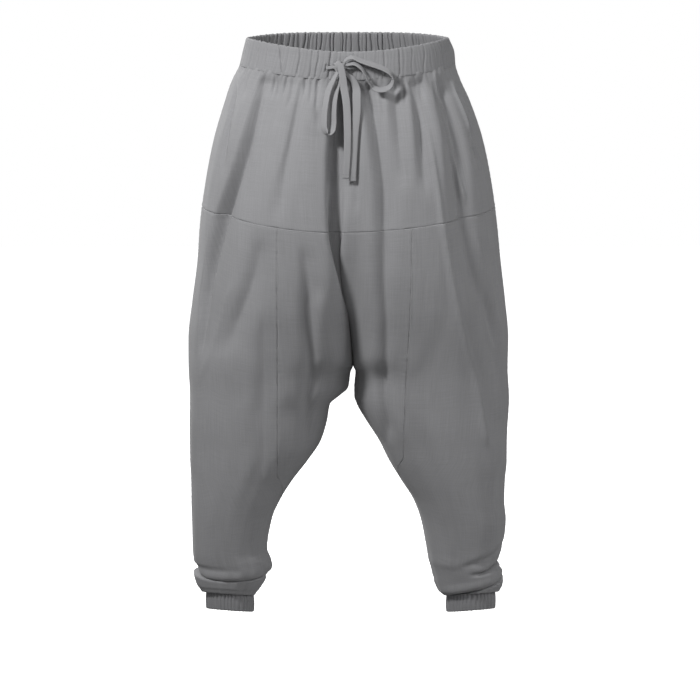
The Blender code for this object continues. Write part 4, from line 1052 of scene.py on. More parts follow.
# %% [markdown]
# ## Tapes and knot
# A drawstring is a strip folded in half and stitched along its edge, so its section is a flat
# oval with two soft edge ridges. It is swept along the route. The knot hides where both halves
# go through each other: a pressed core with two short wraps of the same tape round it.

# %% Sweep the tapes
RING = 14                                 # points round a tape
EDGE_RIDGE = 0.22                         # of the tape's half thickness
TAPE_SQUARE, HOLLOW_REACH = 0.55, 0.55    # power of the section's corners; share of its half width
CRUMPLE = 0.25                            # how much thicker it is where it's pressed narrow


def tape_section():
    """Across and through the tape, for points round it: full edges and a slightly hollow middle."""
    turn = 2 * np.pi * np.arange(RING) / RING
    across = np.sign(np.cos(turn)) * np.abs(np.cos(turn)) ** TAPE_SQUARE
    through = np.sign(np.sin(turn)) * np.abs(np.sin(turn)) ** TAPE_SQUARE
    hollow = 1 - EDGE_RIDGE * np.exp(-(across / HOLLOW_REACH) ** 2)
    return across, through * hollow


def tape_frames(path):
    centre = path[:, :3]
    along = np.gradient(centre, axis=0)
    along /= np.linalg.norm(along, axis=1, keepdims=True)
    wish = path[:, 4:7]
    across = wish - along * np.sum(along * wish, axis=1, keepdims=True)
    across /= np.linalg.norm(across, axis=1, keepdims=True)
    return centre, along, across, np.cross(along, across)


def tape_mesh(name, path, closed=False):
    centre, along, across, face = tape_frames(path)
    wide, thick = tape_section()
    width = TAPE_WIDTH * path[:, 3]
    crumple = 1 + CRUMPLE * (1 - np.clip(path[:, 3], 0, 1))
    points = (centre[:, None] + across[:, None] * (width[:, None] / 2 * wide)[..., None]
              + face[:, None] * (TAPE_THICK / 2 * crumple[:, None] * thick)[..., None])
    rings = len(points)
    index = np.arange(rings * RING).reshape(rings, RING)
    after = np.roll(index, -1, axis=1)
    faces = np.stack([index[:-1], index[1:], after[1:], after[:-1]], axis=-1).reshape(-1, 4).tolist()
    if closed:
        faces += np.stack([index[-1], index[0], after[0], after[-1]], axis=-1).tolist()
    else:
        faces += [index[0].tolist(), index[-1][::-1].tolist()]
    mesh = bpy.data.meshes.new(name)
    mesh.from_pydata(points.reshape(-1, 3).tolist(), [], faces)
    layer = mesh.uv_layers.new(name="UVMap")
    run = np.concatenate([[0], np.cumsum(np.linalg.norm(np.diff(centre, axis=0), axis=1))])
    round_it = np.cumsum(np.full(RING, 2 * TAPE_WIDTH / RING))
    coords = np.stack(np.broadcast_arrays(round_it, run[:, None]), axis=-1)
    corners = np.array([loop.vertex_index for loop in mesh.loops])
    layer.data.foreach_set("uv", coords.reshape(-1, 2)[corners].astype(np.float32).reshape(-1))
    mesh.shade_smooth()
    fix = bmesh.new()
    fix.from_mesh(mesh)
    bmesh.ops.recalc_face_normals(fix, faces=fix.faces)
    fix.to_mesh(mesh)
    fix.free()
    return mesh


CORDS = {
    "drawstring_right": ((LEAD_RIGHT, LOOP_RIGHT, TAIL_BEHIND),
                         ("drawstring_lead_right", "drawstring_loop_right", "drawstring_tail_behind")),
    "drawstring_left": ((LEAD_LEFT, LOOP_LEFT, TAIL_FRONT),
                        ("drawstring_lead_left", "drawstring_loop_left", "drawstring_tail_front")),
}
ROUTES = {}
for name, (strands, nodes) in CORDS.items():
    ROUTES[name] = tape_path(strands)
    piece = add_piece(name, tape_mesh(name, ROUTES[name]), TAPE)
    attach(piece, "root")
    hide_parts(*nodes)


# %% Knot
Wrap = namedtuple("Wrap", "shift lean reach_y reach_z width")
WRAPS = [Wrap(0.0004, 0.30, 0.0062, 0.0084, 0.72), Wrap(-0.0042, -0.45, 0.0050, 0.0068, 0.60)]
WRAP_STEPS = 40
KNOT_SIZE = (0.0088, 0.0052, 0.0070)
KNOT_PLEATS, KNOT_PLEAT, KNOT_TWIST = 7, 0.07, 2.5


def wrap_path(wrap):
    """A closed turn of tape round the knot's middle."""
    rows = []
    for angle in np.linspace(0, 2 * np.pi, WRAP_STEPS + 1)[:-1]:
        y, z = -wrap.reach_y * np.cos(angle), wrap.reach_z * np.sin(angle)
        x = KNOT[0] + wrap.shift + wrap.lean * z
        rows.append((x, KNOT[1] + y, KNOT[2] + z, wrap.width, 1, 0, -wrap.lean))
    return np.array(rows)


def knot_core():
    """A pressed ball with shallow pleats that run in to its two ends."""
    work = bmesh.new()
    bmesh.ops.create_uvsphere(work, u_segments=40, v_segments=24, radius=1.0)
    for vertex in work.verts:
        x, y, z = vertex.co
        pleat = 1 + KNOT_PLEAT * np.cos(KNOT_PLEATS * np.arctan2(y, x) + KNOT_TWIST * z)
        place = np.array((x * pleat, y * pleat, z)) * KNOT_SIZE
        vertex.co = Vector(place) + Vector(KNOT)
    mesh = bpy.data.meshes.new("drawstring_knot_core")
    work.to_mesh(mesh)
    work.free()
    layer = mesh.uv_layers.new(name="UVMap")
    for loop in mesh.loops:
        co = mesh.vertices[loop.vertex_index].co
        layer.data[loop.index].uv = (co.x, co.z)
    mesh.shade_smooth()
    return mesh


core = add_piece("drawstring_knot_core", knot_core(), TAPE)
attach(core, "root")
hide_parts("drawstring_knot")
for number, wrap in enumerate(WRAPS):
    name = f"drawstring_knot_wrap_{number + 1}"
    turn = add_piece(name, tape_mesh("wrap", wrap_path(wrap), closed=True), TAPE)
    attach(turn, "root")

# %% [markdown]
# ## Cut pieces
# Yokes, centre panels and leg panels are grids between their own seams. Columns crowd towards
# the edges, where seams need them, and rows crowd where the crotch turns under and at the
# ankles. A Solidify modifier gives each piece the thickness of real cloth, inwards.

# %% Cut the cloth pieces
CLOTH_THICK = 0.001
CROWDING, LEG_CROWDING, GUSSET_POWER = 0.7, 0.3, 1.15
UPPER_ROWS, GUSSET_ROWS, ANKLE_START = 96, 84, -0.800
LEG_ROWS, ANKLE_ROWS = 150, 76
YOKE_ROWS, YOKE_COLUMNS, CENTRE_COLUMNS, OUTER_COLUMNS = 84, 150, 48, 74
CLOSER_FROM, LAST_STEP = 0.22, 0.004      # share of the rows that close up, and their last step
FIRST_STEPS = (0.35, 0.5, 0.7, 0.9)       # rows are closer below the yoke seam too


def crowded(count, crowd=CROWDING):
    """Shares from 0 to 1 that lie closer together near both ends."""
    t = np.linspace(0, 1, count + 1)
    return t - crowd * np.sin(2 * np.pi * t) / (2 * np.pi)


def level_rows():
    """Nominal heights from the yoke seam to the crotch, closer and closer to it."""
    t = np.linspace(0, 1, UPPER_ROWS + 1)
    step = np.minimum(1.0, (1 - t[:-1]) / CLOSER_FROM) + LAST_STEP
    step[:len(FIRST_STEPS)] *= FIRST_STEPS
    run = np.concatenate([[0], np.cumsum(step)])
    return mix(YOKE_BACK, CROTCH, run / run[-1])


def leg_heights(side, level, u):
    """Height of a row that follows the yoke seam at its top and the cuff at its bottom."""
    upper = np.clip((level - CROTCH) / (YOKE_BACK - CROTCH), 0, 1)
    lower = np.clip((CROTCH - level) / (CROTCH - CUFF_TOP), 0, 1) ** 3
    return level + (yoke_seam(u) - YOKE_BACK) * upper + cuff_edge_rise(side, u) * lower


def ordered(side, face, u):
    """Turns a share of the way from the centre into u, in the order that goes round the body."""
    u = u if face == FRONT else 1 - u
    outward = (side == LEFT) == (face == FRONT)
    return u if outward else u[:, ::-1]


def sides_round(face):
    """Both sides in the order that goes round the body."""
    return (RIGHT, LEFT) if face == FRONT else (LEFT, RIGHT)


def yoke_piece(face):
    parts = []
    for side in sides_round(face):
        shares = np.broadcast_to(np.linspace(0, 0.5, YOKE_COLUMNS + 1), (YOKE_ROWS + 1, YOKE_COLUMNS + 1))
        u = ordered(side, face, shares)
        z = mix(band_bottom(u) + UNDER_BAND, yoke_seam(u), crowded(YOKE_ROWS)[:, None])
        parts.append(cloth_points(np.full(u.shape, side), u, z))
    return parts


def panel_points(side, face, start, end, levels, columns):
    """Cloth between two lines, which are shares of the way from the centre at nominal heights."""
    u = ordered(side, face, start[:, None] + (end - start)[:, None] * crowded(columns))
    sides = np.full(u.shape, side)
    return cloth_points(sides, u, leg_heights(sides, levels[:, None], u))


def seam_shares(side, face, levels):
    line = seam_u(side, face, levels)
    line = line if face == FRONT else 1 - line
    return np.where(levels <= SEAMS[side].tip, 0.0, line)


def centre_piece(face):
    parts = []
    for side in sides_round(face):
        down = np.linspace(0, 1, GUSSET_ROWS + 1) ** GUSSET_POWER
        for levels in (level_rows(), mix(CROTCH, SEAMS[side].tip, down)):
            start, end = np.zeros(levels.shape), np.maximum(seam_shares(side, face, levels), 0.0)
            parts.append(panel_points(side, face, start, end, levels, CENTRE_COLUMNS))
    return parts


def leg_piece(side, face):
    body = mix(YOKE_BACK, ANKLE_START, crowded(LEG_ROWS, LEG_CROWDING))
    ankle = mix(ANKLE_START, CUFF_TOP, np.linspace(0, 1, ANKLE_ROWS + 1))[1:]
    levels = np.concatenate([body, ankle])
    start = seam_shares(side, face, levels)
    return [panel_points(side, face, start, 0.5, levels, OUTER_COLUMNS)]


def cloth_piece(name, parts, material):
    piece = add_piece(name, grid_mesh(name, parts), material)
    wall = piece.modifiers.new("thickness", "SOLIDIFY")
    wall.thickness, wall.offset = CLOTH_THICK, -1.0
    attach(piece, "root")
    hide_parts(name.removeprefix("cloth_"))
    area = sum(face.area for face in piece.data.polygons)
    print(name, len(piece.data.polygons), "faces,", round(area, 4), "square metres")
    return piece


for face, word in ((FRONT, "front"), (BACK, "back")):
    yoke = cloth_piece("cloth_yoke_" + word, yoke_piece(face), CLOTH)
    centre = cloth_piece("cloth_centre_panel_" + word, centre_piece(face), CLOTH)
    for side, hand in ((RIGHT, "right"), (LEFT, "left")):
        leg = cloth_piece(f"cloth_leg_{word}_{hand}", leg_piece(side, face), CLOTH)

# %% [markdown]
# ## Waistband
# The waistband is a tunnel of cloth over wide elastic. Outside it is drawn into many small
# upright creases, and inside, where the cloth is pressed together, into deeper and closer ones.
# It is one closed ring: outer face, rounded rim, inner face and underside.

# %% Waistband
BandCrease = namedtuple("BandCrease", "top bottom depth width")
CREASE_TOP, CREASE_BOTTOM = 0.008, -0.030
BAND_FRONT = [
    #          x at its top and at its bottom, depth and width
    BandCrease(-0.150, -0.155, 0.0014, 0.0016),
    BandCrease(-0.135, -0.140, 0.0012, 0.0016),
    BandCrease(-0.115, -0.110, 0.0022, 0.0016),
    BandCrease(-0.080, -0.085, 0.0018, 0.0020),
    BandCrease(-0.060, -0.065, 0.0014, 0.0016),
    BandCrease(-0.050, -0.055, 0.0020, 0.0016),
    BandCrease(-0.030, -0.035, 0.0022, 0.0018),
    BandCrease(0.055, 0.055, 0.0012, 0.0016),
    BandCrease(0.080, 0.080, 0.0015, 0.0016),
    BandCrease(0.100, 0.100, 0.0008, 0.0016),
    BandCrease(0.120, 0.120, 0.0008, 0.0016),
    BandCrease(0.150, 0.150, 0.0008, 0.0016),
]
INSIDE_HALF, INSIDE_STEP, INSIDE_JITTER = 0.135, 0.010, 0.003   # the deep creases inside the back
INSIDE_Z = 0.02
BAND_SEED, BAND_CREASES = 23, 74          # creases outside, on each side
SMALL_IN_FRONT = 0.55                     # strength of the small creases there; 1 at the back
SWAY, SWAY_DOWN, SWAY_ROUND = 0.0012, 7, 90     # how creases stray from straight lines, in u
CREASE_FADE, CREASE_LEFT = 0.004, 0.3     # beside the centre, in u, and the share left there
RING_COLUMNS = 560                        # on each side of the body
BUTTONHOLES = (-0.0382, 0.0183)
HOLE_Z, HOLE_HALF, HOLE_WIDTH, HOLE_DEPTH = -0.0165, 0.0062, 0.0012, 0.0024
BandValley = namedtuple("BandValley", "side top bottom depth width")


def band_valleys():
    """Outer creases: the listed ones, then small ones all round."""
    rows = []
    for crease in BAND_FRONT:
        side = RIGHT if crease.top < 0 else LEFT
        top = u_at(side, FRONT, crease.top, CREASE_TOP)
        bottom = u_at(side, FRONT, crease.bottom, CREASE_BOTTOM)
        rows.append(BandValley(side, top, bottom, crease.depth, crease.width))
    draw = np.random.default_rng(BAND_SEED)
    for side in (RIGHT, LEFT):
        spots = (np.arange(BAND_CREASES) + draw.uniform(0.05, 0.95, BAND_CREASES)) / BAND_CREASES
        for u in spots:
            strong = 1.0 if u > 0.5 else SMALL_IN_FRONT
            rows.append(BandValley(side, u, u + draw.uniform(-0.004, 0.004),
                                   strong * draw.uniform(0.0002, 0.0013), draw.uniform(0.0010, 0.0026)))
    return rows


def inner_valleys():
    """Inner creases: places, depths and widths on each side."""
    rows = []
    draw = np.random.default_rng(BAND_SEED + 7)
    for x in np.arange(-INSIDE_HALF, INSIDE_HALF, INSIDE_STEP):
        x += draw.uniform(-INSIDE_JITTER, INSIDE_JITTER)
        side = RIGHT if x < 0 else LEFT
        u = u_at(side, BACK, x, INSIDE_Z)
        rows.append(BandValley(side, u, u + draw.uniform(-0.006, 0.006),
                               draw.uniform(0.0022, 0.0036), draw.uniform(0.0009, 0.0016)))
    for side in (RIGHT, LEFT):
        for u in np.arange(0.02, 0.98, 0.016) + draw.uniform(-0.005, 0.005, 60):
            placed = any(row.side == side and abs(row.top - u) < 0.006 for row in rows)
            if not placed:
                rows.append(BandValley(side, u, u + draw.uniform(-0.006, 0.006),
                                       draw.uniform(0.0005, 0.0022), draw.uniform(0.0009, 0.0018)))
    return rows


OUTER_VALLEYS, INNER_VALLEYS = band_valleys(), inner_valleys()


def valleys_at(rows, side, u, share, metres):
    """Total depth of upright creases; share is 0 at the rim and 1 at the bottom."""
    total = np.zeros(np.shape(u))
    for row in rows:
        sway = SWAY * np.sin(SWAY_DOWN * share + SWAY_ROUND * row.top)
        line = mix(row.top, row.bottom, share) + sway
        shape = np.exp(-((u - line) * metres / row.width) ** 2)
        total += np.where(side == row.side, row.depth * shape, 0.0)
    return total * ease(np.minimum(u, 1 - u) / CREASE_FADE + CREASE_LEFT)


def ring_u(columns):
    """Side and u for a ring that starts at the wearer's right side seam and goes round by the front."""
    left = np.linspace(0, 1, columns + 1)
    right_front = np.linspace(0.5, 0.0, columns // 2 + 1)
    right_back = np.linspace(1.0, 0.5, columns // 2 + 1)
    u = np.concatenate([right_front, left[1:], right_back[1:]])
    side = np.concatenate([np.full(len(right_front), RIGHT), np.full(len(left) - 1, LEFT),
                           np.full(len(right_back) - 1, RIGHT)])
    return side.astype(int), u


def band_profile():
    """(share down the band, share through it) round the profile: outer, underside, inner, rim."""
    outer = np.concatenate([
        np.linspace(0.02, 0.30, 9), np.linspace(0.33, 0.80, 24), np.linspace(0.84, 0.985, 7)])
    inner = np.linspace(0.97, 0.03, 18)
    rim = [(0.006, 0.72), (0.0, 0.5), (0.006, 0.28)]
    rows = [(share, 0.0) for share in outer] + [(1.0, 0.15), (1.0, 0.85)]
    rows += [(share, 1.0) for share in inner] + rim
    return rows


BAND_THICK, INNER_BULGE = 0.0018, 0.0028
PUFF, BAND_STANDS, BAND_LEAST = 0.0014, 0.0006, 0.0007
SCALLOP, SCALLOPS, SCALLOP_FADE = 0.00035, (61, 37), 0.02       # little waves of the rim
RIM_CROWN = 0.0006


def band_outer(side, u, share):
    """How far the band's outer face stands off the plain surface."""
    z = rim_height(u) - BAND_HEIGHT * share
    metres = metres_per_u(side, u, z)
    puff = BAND_STANDS + PUFF * np.sin(np.pi * share) ** 0.5
    offset = puff - valleys_at(OUTER_VALLEYS, side, u, share, metres)
    for x in BUTTONHOLES:
        own = RIGHT if x < 0 else LEFT
        off = (u - u_at(own, FRONT, x, HOLE_Z)) * metres
        slit = np.exp(-(off / HOLE_WIDTH) ** 2) * np.exp(-((z - HOLE_Z) / HOLE_HALF) ** 6)
        offset = offset - np.where(side == own, HOLE_DEPTH * slit, 0.0)
    return offset


def band_inner(side, u, share):
    """The same for its inner face, which always keeps some cloth under the outer one."""
    metres = metres_per_u(side, u, rim_height(u) - BAND_HEIGHT * share)
    valley = valleys_at(INNER_VALLEYS, side, u, share, metres)
    inner = BAND_PROUD - BAND_THICK - INNER_BULGE + valley
    return np.minimum(inner, band_outer(side, u, share) - BAND_LEAST)


def band_points():
    side, u = ring_u(RING_COLUMNS)
    fine, coarse = SCALLOPS
    scallop = SCALLOP * (np.cos(2 * np.pi * fine * u) + np.cos(2 * np.pi * coarse * u + 1.0))
    edge = ease(np.minimum(u, 1 - u) / SCALLOP_FADE)
    rows = []
    for share, through in band_profile():
        z = rim_height(u) - BAND_HEIGHT * share
        offset = mix(band_outer(side, u, share), band_inner(side, u, share), through)
        crown = RIM_CROWN * (0.5 - abs(through - 0.5)) * (share < 0.5)
        height = z + scallop * edge * (1 - share) + crown
        point = base(side, u, z) + level_normal(side, u, z) * offset[:, None]
        rows.append(np.concatenate([point, height[:, None]], axis=1))
    rows.append(rows[0])
    return np.array(rows)


band_grid = band_points()
# Its colour is darker than the legs' cloth: painted shade of the creases.
band = add_piece("cloth_waistband", grid_mesh("cloth_waistband", [band_grid]), BAND_CLOTH_SHADED)
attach(band, "root")
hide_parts("waistband")
print("waistband:", len(band.data.polygons), "faces")

# %% [markdown]
# ## Cuffs
# Each cuff is a short tunnel over narrow elastic, drawn into upright ribs that are a little
# uneven. It is built as the waistband is, as one closed ring with a rounded lower edge.

# %% Cuffs
CUFF_COLUMNS, CUFF_RIBS = 420, 40
CUFF_THICK, RIB_HEIGHT, CUFF_SEED = 0.0026, 0.0022, 40
CUFF_PUFF, CUFF_SUNK, CUFF_LEAST = 0.0009, 0.0006, 0.0008
INNER_RIBS, EDGE_WAVE, RIB_POWER = 0.8, 0.0004, 0.7


def cuff_ribs(own, u):
    """Ribs round a cuff, from -1 in a groove to 1 on a crest, stronger in some places."""
    draw = np.random.default_rng(CUFF_SEED + own)
    turn = 2 * np.pi * u
    drift = sum(draw.uniform(0.15, 0.5) * np.sin(k * turn + draw.uniform(0, 6.28)) for k in range(2, 9))
    broad = np.sin(3 * turn + draw.uniform(0, 6.28))
    strength = 0.70 + 0.30 * broad * np.sin(5 * turn + draw.uniform(0, 6.28))
    return strength * (2 * np.abs(np.sin(CUFF_RIBS / 2 * turn + 1.2 * drift)) ** RIB_POWER - 1)


def cuff_place(own, u, share):
    """Plain place of a row of the cuff, the direction out of it and how far its face stands off."""
    side, level = np.full(u.shape, own), np.full(u.shape, CUFF_TOP - CUFF_HEIGHT / 2)
    wave = RIB_HEIGHT * cuff_ribs(own, u) * (0.75 + 0.25 * np.cos(2.2 * share + 5 * u))
    outer = CUFF_PUFF * np.sin(np.pi * np.clip(share, 0, 1)) - CUFF_SUNK + wave
    return base(side, u, level), level_normal(side, u, level), outer, wave


def cuff_level(own, point, share):
    return cuff_plane(own, point[:, 0], point[:, 1]) - CUFF_HEIGHT * share


def cuff_points(own):
    u = np.linspace(0, 1, CUFF_COLUMNS + 1)
    u = u if own == LEFT else u[::-1]
    profile = [(s, 0.0) for s in np.linspace(0.0, 0.94, 16)]
    profile += [(0.985, 0.12), (1.0, 0.4), (1.0, 0.6), (0.985, 0.88)]
    profile += [(s, 1.0) for s in np.linspace(0.94, 0.0, 9)]
    rows = []
    for share, through in profile:
        plain, normal, outer, wave = cuff_place(own, u, share)
        inner = np.minimum(-CUFF_THICK - INNER_RIBS * wave, outer - CUFF_LEAST)
        offset = mix(outer, inner, through)
        point = plain + normal * offset[:, None]
        height = cuff_level(own, point, share) + EDGE_WAVE * cuff_ribs(own, u) * share
        rows.append(np.concatenate([point, height[:, None]], axis=1))
    rows.append(rows[0])
    return np.array(rows)


for own, hand in ((RIGHT, "right"), (LEFT, "left")):
    name = "cloth_cuff_" + hand
    # The cuff's colour is darker than the legs' cloth: painted shade of its ribs.
    cuff = add_piece(name, grid_mesh(name, [cuff_points(own)]), CUFF_CLOTH_SHADED)
    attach(cuff, "root")
    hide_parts("cuff_" + hand)

# %% [markdown]
# ## Stitches
# Rows of lockstitch hold the casing of the waistband and the seams of the panels. A stitch is a
# short bar of thread that lies a little sunk in the cloth, always the same, so one small mesh is
# set along each row by Geometry Nodes. The points of a row carry the direction out of the cloth,
# and each stitch turns with it. Round the buttonholes the stitches lie across their row.

# %% Stitch mesh
STITCH_LENGTH, STITCH_SPACING, THREAD_RADIUS = 0.0024, 0.0031, 0.00017


def stitch_mesh():
    work = bmesh.new()
    bmesh.ops.create_uvsphere(work, u_segments=6, v_segments=4, radius=1.0)
    layer = work.loops.layers.uv.new("UVMap")
    for vertex in work.verts:
        x, y, z = vertex.co
        vertex.co = (z * STITCH_LENGTH / 2, y * THREAD_RADIUS, x * THREAD_RADIUS)
    bmesh.ops.recalc_face_normals(work, faces=work.faces)
    for face in work.faces:
        for loop in face.loops:
            loop[layer].uv = (loop.vert.co.x, loop.vert.co.y + loop.vert.co.z)
    mesh = bpy.data.meshes.new("stitch")
    work.to_mesh(mesh)
    work.free()
    mesh.shade_smooth()
    return mesh


STITCH = bpy.data.objects.new("stitch", stitch_mesh())
STITCH_FACES = len(STITCH.data.polygons)
print("one stitch has", STITCH_FACES, "faces")


# %% Node tree for a row of stitches
STITCH_SOCKETS = (
    ("Row", "NodeSocketGeometry"), ("Stitch", "NodeSocketObject"), ("Spacing", "NodeSocketFloat"),
    ("Turn", "NodeSocketFloat"), ("Material", "NodeSocketMaterial"))
STITCH_NODES = {
    "inward": "NodeGroupInput",
    "outward": "NodeGroupOutput",
    "curve": "GeometryNodeMeshToCurve",
    "even": "GeometryNodeResampleCurve",
    "tangent": "GeometryNodeInputTangent",
    "facing": "GeometryNodeInputNamedAttribute",
    "along": "FunctionNodeAlignRotationToVector",
    "upright": "FunctionNodeAlignRotationToVector",
    "spin": "ShaderNodeCombineXYZ",
    "rotation": "FunctionNodeEulerToRotation",
    "turned": "FunctionNodeRotateRotation",
    "source": "GeometryNodeObjectInfo",
    "place": "GeometryNodeInstanceOnPoints",
    "realize": "GeometryNodeRealizeInstances",
    "paint": "GeometryNodeSetMaterial",
}
STITCH_LINKS = (
    # even points along the row, and a rotation that follows it and stands up from the cloth
    ("inward", "Row", "curve", "Mesh"),
    ("curve", "Curve", "even", "Curve"),
    ("inward", "Spacing", "even", "Length"),
    ("tangent", 0, "along", "Vector"),
    ("along", 0, "upright", "Rotation"),
    ("facing", 0, "upright", "Vector"),
    # a further turn about the direction out of the cloth
    ("inward", "Turn", "spin", "Z"),
    ("spin", 0, "rotation", 0),
    ("upright", 0, "turned", "Rotation"),
    ("rotation", 0, "turned", "Rotate By"),
    # one stitch on each point
    ("inward", "Stitch", "source", "Object"),
    ("even", "Curve", "place", "Points"),
    ("source", "Geometry", "place", "Instance"),
    ("turned", 0, "place", "Rotation"),
    ("place", "Instances", "realize", "Geometry"),
    ("realize", "Geometry", "paint", "Geometry"),
    ("inward", "Material", "paint", "Material"),
    ("paint", "Geometry", "outward", "Stitches"),
)


def stitch_tree():
    tree = bpy.data.node_groups.new("stitch_row", "GeometryNodeTree")
    for label, kind in STITCH_SOCKETS:
        tree.interface.new_socket(name=label, in_out="INPUT", socket_type=kind)
    tree.interface.new_socket(name="Stitches", in_out="OUTPUT", socket_type="NodeSocketGeometry")
    nodes = {name: tree.nodes.new(kind) for name, kind in STITCH_NODES.items()}
    nodes["even"].mode = "LENGTH"
    nodes["facing"].data_type = "FLOAT_VECTOR"
    nodes["facing"].inputs["Name"].default_value = "facing"
    nodes["along"].axis = "X"
    nodes["upright"].axis = "Z"
    nodes["upright"].pivot_axis = "X"
    nodes["turned"].rotation_space = "LOCAL"
    for start, output, end, socket in STITCH_LINKS:
        tree.links.new(nodes[start].outputs[output], nodes[end].inputs[socket])
    return tree


STITCH_TREE = stitch_tree()


def stitch_rows(name, rows, spacing=STITCH_SPACING, turn=0.0):
    """One piece with a stitch every few millimetres along rows of (points, directions out)."""
    mesh = bpy.data.meshes.new(name)
    vertices, edges, facings = [], [], []
    for points, facing in rows:
        first = len(vertices)
        vertices += points.tolist()
        facings += facing.tolist()
        edges += [(first + k, first + k + 1) for k in range(len(points) - 1)]
    mesh.from_pydata(vertices, edges, [])
    layer = mesh.attributes.new("facing", "FLOAT_VECTOR", "POINT")
    layer.data.foreach_set("vector", np.array(facings, dtype=np.float32).reshape(-1))
    piece = add_object(name, mesh)
    modifier = piece.modifiers.new("stitches", "NODES")
    modifier.node_group = STITCH_TREE
    values = {"Stitch": STITCH, "Spacing": spacing, "Turn": turn, "Material": THREAD}
    for item in STITCH_TREE.interface.items_tree:
        if item.in_out == "INPUT" and item.name in values:
            modifier[item.identifier] = values[item.name]
    ready = piece.evaluated_get(bpy.context.evaluated_depsgraph_get())
    plain = bpy.data.meshes.new_from_object(ready)
    piece.modifiers.remove(modifier)
    piece.data = plain
    plain.shade_smooth()
    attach(piece, "root")
    print(name, "has", len(plain.polygons) // STITCH_FACES, "stitches")


# %% [markdown]
# ## Rows of stitches
# A row lies beside its seam: on the casing of the waistband above and below the elastic, inside
# the back of the waistband, under the yoke seam, beside each vertical seam and round the cuffs.
# Its points are taken from the same functions as the cloth, so it goes through every gather.

# %% Rows of stitches on the panels
ROW_STEP, ROW_LIFT, BESIDE_SEAM = 0.0011, 0.00012, 0.0017
PANEL_RUN, YOKE_RUN, BAND_RUN, CUFF_RUN = 0.44, 0.36, 0.50, 0.25    # about how long the rows are
BELOW_YOKE, ABOVE_TIP = 0.004, 0.03       # where a row beside a vertical seam starts and ends
SEAM_TOP_U, YOKE_ENDS = (0.2, 0.8), (0.002, 0.498)


def level(directions):
    """Level directions with their third coordinate, 0, added."""
    return np.concatenate([directions, np.zeros(directions.shape[:-1] + (1,))], axis=-1)


def row_count(length):
    return int(length / ROW_STEP)


def cloth_row(side, u, z):
    side = np.full(u.shape, side)
    facing = level(level_normal(side, u, z))
    return cloth_points(side, u, z) + facing * ROW_LIFT, facing


def seam_row(side, face):
    """A row down the leg's side of a vertical seam, to where the centre panel ends."""
    top = float(yoke_seam(np.array([SEAM_TOP_U[face]]))[0]) - BELOW_YOKE
    z = np.linspace(top, SEAMS[side].tip + ABOVE_TIP, row_count(PANEL_RUN))
    metres = metres_per_u(side, np.full(z.shape, float(face)), z)
    outward = 1 if face == FRONT else -1
    return cloth_row(side, seam_u(side, face, z) + outward * BESIDE_SEAM / metres, z)


for face, word in ((FRONT, "front"), (BACK, "back")):
    u = np.linspace(*YOKE_ENDS, row_count(YOKE_RUN))
    u = u if face == FRONT else 1 - u
    z = yoke_seam(u) - BESIDE_SEAM
    stitch_rows("stitches_yoke_" + word, [cloth_row(side, u, z) for side in (RIGHT, LEFT)])
    stitch_rows("stitches_panels_" + word, [seam_row(side, face) for side in (RIGHT, LEFT)])


# %% Rows of stitches on the waistband and the cuffs
CASING_ROWS, INSIDE_ROW, CUFF_ROW = (0.20, 0.93), 0.22, 0.30
HOLE_EDGE, HOLE_SPACING = 0.0022, 0.0007


def band_row(side, u, share, inside=False):
    z = rim_height(u) - BAND_HEIGHT * share
    normal = level_normal(side, u, z)
    offset = band_inner(side, u, share) - ROW_LIFT if inside else band_outer(side, u, share) + ROW_LIFT
    point = base(side, u, z) + normal * offset[:, None]
    return np.concatenate([point, z[:, None]], axis=1), level(-normal if inside else normal)


def cuff_row(own):
    u = np.linspace(0, 1, row_count(CUFF_RUN))
    plain, normal, outer, _ = cuff_place(own, u, CUFF_ROW)
    point = plain + normal * (outer + ROW_LIFT)[:, None]
    return np.concatenate([point, cuff_level(own, point, CUFF_ROW)[:, None]], axis=1), level(normal)


def hole_rows():
    """Two upright rows beside each buttonhole; their stitches lie across them."""
    rows = []
    for x in BUTTONHOLES:
        own = RIGHT if x < 0 else LEFT
        z = np.linspace(HOLE_Z + HOLE_HALF, HOLE_Z - HOLE_HALF, 12)
        for edge in (-HOLE_EDGE, HOLE_EDGE):
            u = np.full(z.shape, u_at(own, FRONT, x + edge, HOLE_Z))
            rows.append(band_row(np.full(z.shape, own), u, (rim_height(u) - z) / BAND_HEIGHT))
    return rows


band_round = ring_u(row_count(BAND_RUN))
stitch_rows("stitches_waistband", [band_row(*band_round, share) for share in CASING_ROWS])
stitch_rows("stitches_waistband_inside", [band_row(*band_round, INSIDE_ROW, inside=True)])
stitch_rows("stitches_buttonholes", hole_rows(), spacing=HOLE_SPACING, turn=np.pi / 2)
for own, hand in ((RIGHT, "right"), (LEFT, "left")):
    stitch_rows("stitches_cuff_" + hand, [cuff_row(own)])

# %% [markdown]
# ## Hems of the drawstring
# Each tail is turned in at its end and stitched across, so that it doesn't fray.

# %% Stitches across the tails
HEM_FROM_END, HEM_POINTS = 3, 9           # steps of the tape above its end; points of the row
HEM_HALF = 0.42                           # share of the tape's width


def hem_row(name):
    centre, _, across, facing = (values[-1 - HEM_FROM_END] for values in tape_frames(ROUTES[name]))
    half = HEM_HALF * TAPE_WIDTH * ROUTES[name][-1 - HEM_FROM_END, 3]
    facing = facing if facing[1] < 0 else -facing
    over = np.linspace(-half, half, HEM_POINTS)[:, None]
    points = centre + over * across + facing * (TAPE_THICK / 2 + ROW_LIFT)
    return points, np.broadcast_to(facing, points.shape)


for name in CORDS:
    stitch_rows("stitches_" + name, [hem_row(name)])

# %% [markdown]
# ## Stage and light
# A plain pale floor and an even pale world stand in for a studio. There is no wall, because it
# would hide the trousers from behind. A soft lamp on the upper left models the folds, and both
# floor and world look white to the camera but throw only a little light on the cloth.

# %% Floor and world
FLOOR_Z, FLOOR_HALF = -0.975, 8.0
SEEN_GLOW, BOUNCE, WORLD_LIGHT = 1.0, 0.22, 0.21
FLOOR_GREY, FLOOR_ROUGHNESS = 0.9, 0.9


